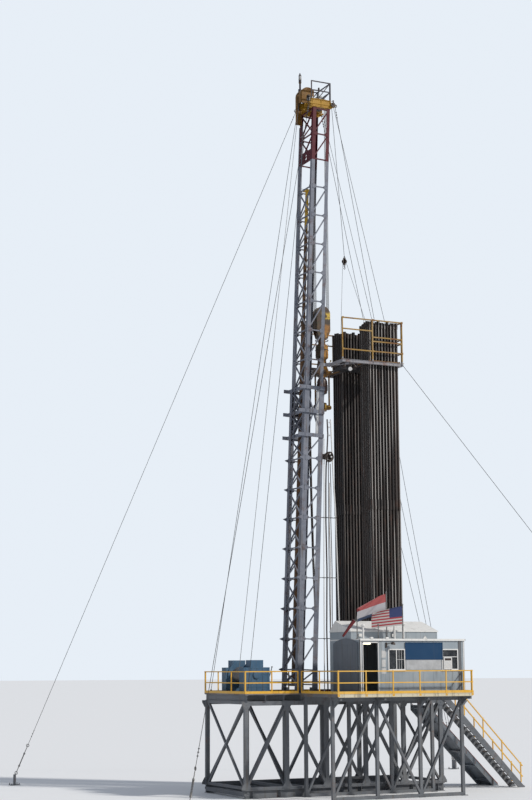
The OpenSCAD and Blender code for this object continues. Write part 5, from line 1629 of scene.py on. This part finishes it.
def guy_turnbuckles():
    """Thimbles, clips and a turnbuckle at the foot of each guy, and clips at its top."""
    s = Shape()
    for top, foot in guy_ends():
        run = (top - foot).normalized()
        across = run.cross(UP).normalized()
        turn = run.to_track_quat("Z", "Y").to_matrix().to_4x4()

        def rod(start, end, radius, sides=10, shift=0.0):
            s.rod(foot + run * start + across * shift, foot + run * end + across * shift, radius, sides)

        for k in range(3):
            at = foot + run * (2.25 + 0.16 * k)
            s.box((-0.03, -0.012, -0.03), (0.03, 0.012, 0.03), Matrix.Translation(at) @ turn)
            s.bolt(at + across * 0.022, across, 0.010, 0.03)
            at = top - run * (0.35 + 0.14 * k)
            s.box((-0.028, -0.012, -0.028), (0.028, 0.012, 0.028), Matrix.Translation(at) @ turn)
        for shift in (-0.035, 0.035):
            rod(0.55, 1.25, 0.014, 8, shift)
        for d in (0.55, 1.25):
            rod(d - 0.04, d + 0.04, 0.05)
        rod(0.22, 0.70, 0.020)
        rod(1.10, 1.60, 0.020)
        for d in (0.14, 1.72):
            s.ring(foot + run * d, across, 0.075, 0.018, 18)
    s.finish("guy_turnbuckles", "dull_steel", slot="bright_steel", smooth=True)


def anchor_pegs():
    s = Shape()
    spots = [(x + dx, y + dy) for x in (-ANCHOR_X, ANCHOR_X) for y in (-12.085, 12.085)
             for dx in (-0.2, 0.2) for dy in (-0.2, 0.2)]
    for x, y in spots:
        s.rod((x, y, 0.03), (x, y, 0.10), 0.024, 10)
        s.rod((x, y, 0.10), (x, y, 0.115), 0.038, 10)
    s.finish("anchor_pegs", "steel_grey", slot="steel_grey")


# Flags and windsock: simulated cloth
CLOTH = {"quality": 10, "mass": 0.12, "tension_stiffness": 120, "compression_stiffness": 120,
         "shear_stiffness": 40, "air_damping": 1.0}
WIND_FROM = Vector((-1.0, 0.28, 0.12))


def settle(obj, held, wind, frames, stiffness=0.25):
    """Lets gravity and wind act on a cloth held at some of its vertices, and keeps the shape it takes."""
    scene = bpy.context.scene
    obj.vertex_groups.new(name="held").add(held, 1.0, "REPLACE")
    cloth = obj.modifiers.new("cloth", "CLOTH")
    for key, value in CLOTH.items():
        setattr(cloth.settings, key, value)
    cloth.settings.bending_stiffness = stiffness
    cloth.settings.vertex_group_mass = "held"
    cloth.collision_settings.use_self_collision = True
    cloth.collision_settings.self_distance_min = 0.008
    cloth.point_cache.frame_start = 1
    cloth.point_cache.frame_end = frames
    fan = bpy.data.objects.new(obj.name + "_wind", None)
    scene.collection.objects.link(fan)
    fan.location = obj.bound_box[6]
    fan.rotation_euler = WIND_FROM.to_track_quat("Z", "Y").to_euler()
    with bpy.context.temp_override(object=fan, active_object=fan):
        bpy.ops.object.forcefield_toggle()
    fan.field.type = "WIND"
    fan.field.strength = wind
    fan.field.noise = 2.0
    fan.field.seed = 3
    for f in range(1, frames + 1):
        scene.frame_set(f)
    settled = bpy.data.meshes.new_from_object(obj.evaluated_get(bpy.context.evaluated_depsgraph_get()))
    obj.modifiers.remove(cloth)
    obj.data = settled
    obj.data.shade_smooth()
    bpy.data.objects.remove(fan)
    scene.frame_set(1)


def hang_flag(name, finish, corner, wind, droop):
    """A flag on its pole, blown towards -X and drooping by an angle in degrees."""
    wide, tall = 1.50, 0.90
    bm = bmesh.new()
    bmesh.ops.create_grid(bm, x_segments=36, y_segments=22, size=0.5)
    uv = bm.loops.layers.uv.new("cloth")
    for face in bm.faces:
        for loop in face.loops:
            loop[uv].uv = (loop.vert.co.x + 0.5, loop.vert.co.y + 0.5)
    sag = math.radians(droop)
    for v in bm.verts:
        a, b = v.co.x + 0.5, v.co.y + 0.5
        ripple = (0.05 * math.sin(a * 9.0 + b * 1.2) + 0.12 * a) * a
        v.co = Vector((corner[0] - wide * a * math.cos(sag), corner[1] + ripple,
                       corner[2] - wide * a * math.sin(sag) * 0.9 - tall * (1 - b)))
    held = [v.index for v in bm.verts if v.co.x > corner[0] - 0.02]
    obj = new_object(name, bm, finish)
    settle(obj, held, wind, 36)
    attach(obj, "rig")
    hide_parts("flags")


# Mouth of the windsock, and the way the sock hangs from it
SOCK_AT = Vector((-2.34, -5.10, 8.30))
SOCK_AIM = (-0.62, 0.05, -0.78)


def hang_windsock():
    """A tapered cloth tube held open by a hoop at its mouth."""
    length, mouth, tail = 0.95, 0.09, 0.05
    rings, sides = 18, 20
    aim = Vector(SOCK_AIM).normalized()
    bm = bmesh.new()
    made = []
    for t in steps(0, 1 / rings, rings + 1):
        verts = bmesh.ops.create_circle(bm, segments=sides, radius=mouth + (tail - mouth) * t)["verts"]
        spot = Matrix.Translation(SOCK_AT + aim * length * t) @ towards(aim)
        bmesh.ops.transform(bm, matrix=spot, verts=verts)
        made.append(verts)
    for a, b in zip(made, made[1:]):
        for k in range(sides):
            bm.faces.new((a[k], a[(k + 1) % sides], b[(k + 1) % sides], b[k]))
    bm.verts.index_update()
    held = [v.index for v in made[0]]
    bmesh.ops.recalc_face_normals(bm, faces=bm.faces)
    obj = new_object("windsock_cloth", bm, "sock_cloth")
    settle(obj, held, 150.0, 36, 0.10)
    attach(obj, "rig")
    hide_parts("windsock")


def windsock_hoop():
    """Hoop at the windsock's mouth, and the two arms that hold it to its pole."""
    s = Shape()
    s.ring(SOCK_AT, SOCK_AIM, 0.108, 0.008, 24, 6)
    s.rod((-2.20, -5.10, 8.32), (-2.27, -5.10, 8.36), 0.010, 6)
    s.rod((-2.20, -5.10, 8.24), (-2.25, -5.10, 8.24), 0.010, 6)
    s.finish("windsock_hoop", "dull_steel", smooth=True)


def pole_caps_and_rings():
    """Balls on the tops of the poles, flanges at their feet, and the rings that hold the flags."""
    s = Shape()
    flange = [(0.026, 0), (0.07, 0), (0.07, 0.012), (0.04, 0.03), (0.026, 0.03)]
    for x, y, z in ((0.18, -5.38, 9.04), (-0.55, -5.08, 9.64), (-2.18, -5.10, 8.34), (-1.18, -5.38, 8.08)):
        s.ball((x, y, z + 0.03), 0.045)
        s.turned(flange, (x, y, 7.44), UP, 16)
    for x, y, z in ((0.18, -5.38, 9.00), (-0.55, -5.08, 9.60)):
        for dz in (-0.04, -0.48, -0.90):
            s.ring((x, y, z + dz), UP, 0.032, 0.006, 14, 6)
    s.finish("pole_caps_and_rings", "dull_steel", smooth=True)


def fly_flags():
    hang_flag("striped_flag", "striped_cloth", (0.148, -5.38, 9.00), 1500.0, 7)
    hang_flag("plain_flag", "plain_cloth", (-0.582, -5.08, 9.60), 1000.0, 18)
    hang_windsock()


# Studio


def make_stage():
    bm = bmesh.new()
    bmesh.ops.create_circle(bm, cap_ends=True, segments=96, radius=900)
    mesh = bpy.data.meshes.new("studio_floor")
    bm.to_mesh(mesh)
    bm.free()
    floor = bpy.data.objects.new("studio_floor", mesh)
    bpy.context.scene.collection.objects.link(floor)
    pale = Coat("pale_studio_floor", Roughness=0.9)
    pale.color((0.80, 0.81, 0.82, 1))
    floor.data.materials.append(pale.mat)


def make_lights():
    """A sky that lights more softly than it shows, and a warm sun."""
    world = bpy.data.worlds.new("studio_world")
    bpy.context.scene.world = world
    world.use_nodes = True
    web = Web(world.node_tree)
    back = world.node_tree.nodes["Background"]
    seen = web.add("ShaderNodeBackground")
    for sky, color, strength in ((back, (0.80, 0.87, 1.0, 1), 0.46), (seen, (0.80, 0.86, 0.93, 1), 1.0)):
        sky.inputs["Color"].default_value = color
        sky.inputs["Strength"].default_value = strength
    path = web.add("ShaderNodeLightPath")
    which = web.math("MAXIMUM", path.outputs["Is Camera Ray"], path.outputs["Is Transmission Ray"])
    mixer = web.add("ShaderNodeMixShader")
    for k, source in enumerate((which, back.outputs[0], seen.outputs[0])):
        web.link(source, mixer.inputs[k])
    web.link(mixer.outputs[0], world.node_tree.nodes["World Output"].inputs["Surface"])
    sun = bpy.data.lights.new("key_sun", "SUN")
    sun.energy = 2.9
    sun.angle = math.radians(4)
    sun.color = (1.0, 0.96, 0.90)
    lamp = bpy.data.objects.new("key_sun", sun)
    bpy.context.scene.collection.objects.link(lamp)
    sun_from = Vector((0.55, -0.62, 0.62)).normalized()
    lamp.rotation_euler = sun_from.to_track_quat("Z", "Y").to_euler()


PIECES = [
    lattice_gussets, collar_bolts, lock_pin_housings, mast_ladder,
    service_lines, service_line_brackets, hank_of_hose, pale_pipe_caps,
    crown_beam_ribs, crown_shaft_nuts, catline_sheave, crown_lamp, crown_shackles, beacon,
    ram_glands, ram_hose,
    block_pin_covers, block_side_guards, hook_body_bands, hook_latch, swivel_body, elevator_latch, running_lines,
    board_beam_lips, cage_post_plates, finger_latches, diving_board_grating, board_cross_ties, bare_round_plate,
    board_lamps, hung_pulley, hung_pulley_lines, pipe_end_rims,
    window_frames, window_bars, corner_trims, door_frame, wall_seams, roof_edge_trim, sign_edges, wall_lamp,
    bare_notices, roof_vents, air_conditioner_front, doorway_lamp, panel_seams, door_panels, door_handle,
    substructure_gussets, skid_ribs_and_eyes, support_feet_and_brackets,
    walkway_rail_clamps, walkway_edge, floor_rail_clamps, tread_nosings, stair_bolts, ramp_strips, ramp_side_ribs,
    table_ring, floor_plate_welds, shoe_pins, drum_rope_wraps, drawworks_ribs, brake_lever,
    guy_turnbuckles, anchor_pegs, windsock_hoop, pole_caps_and_rings, fly_flags,
]

bpy.context.scene.view_settings.view_transform = "Standard"
make_camera()
dress_nodes()
make_stage()
make_lights()
for make_piece in PIECES:
    make_piece()
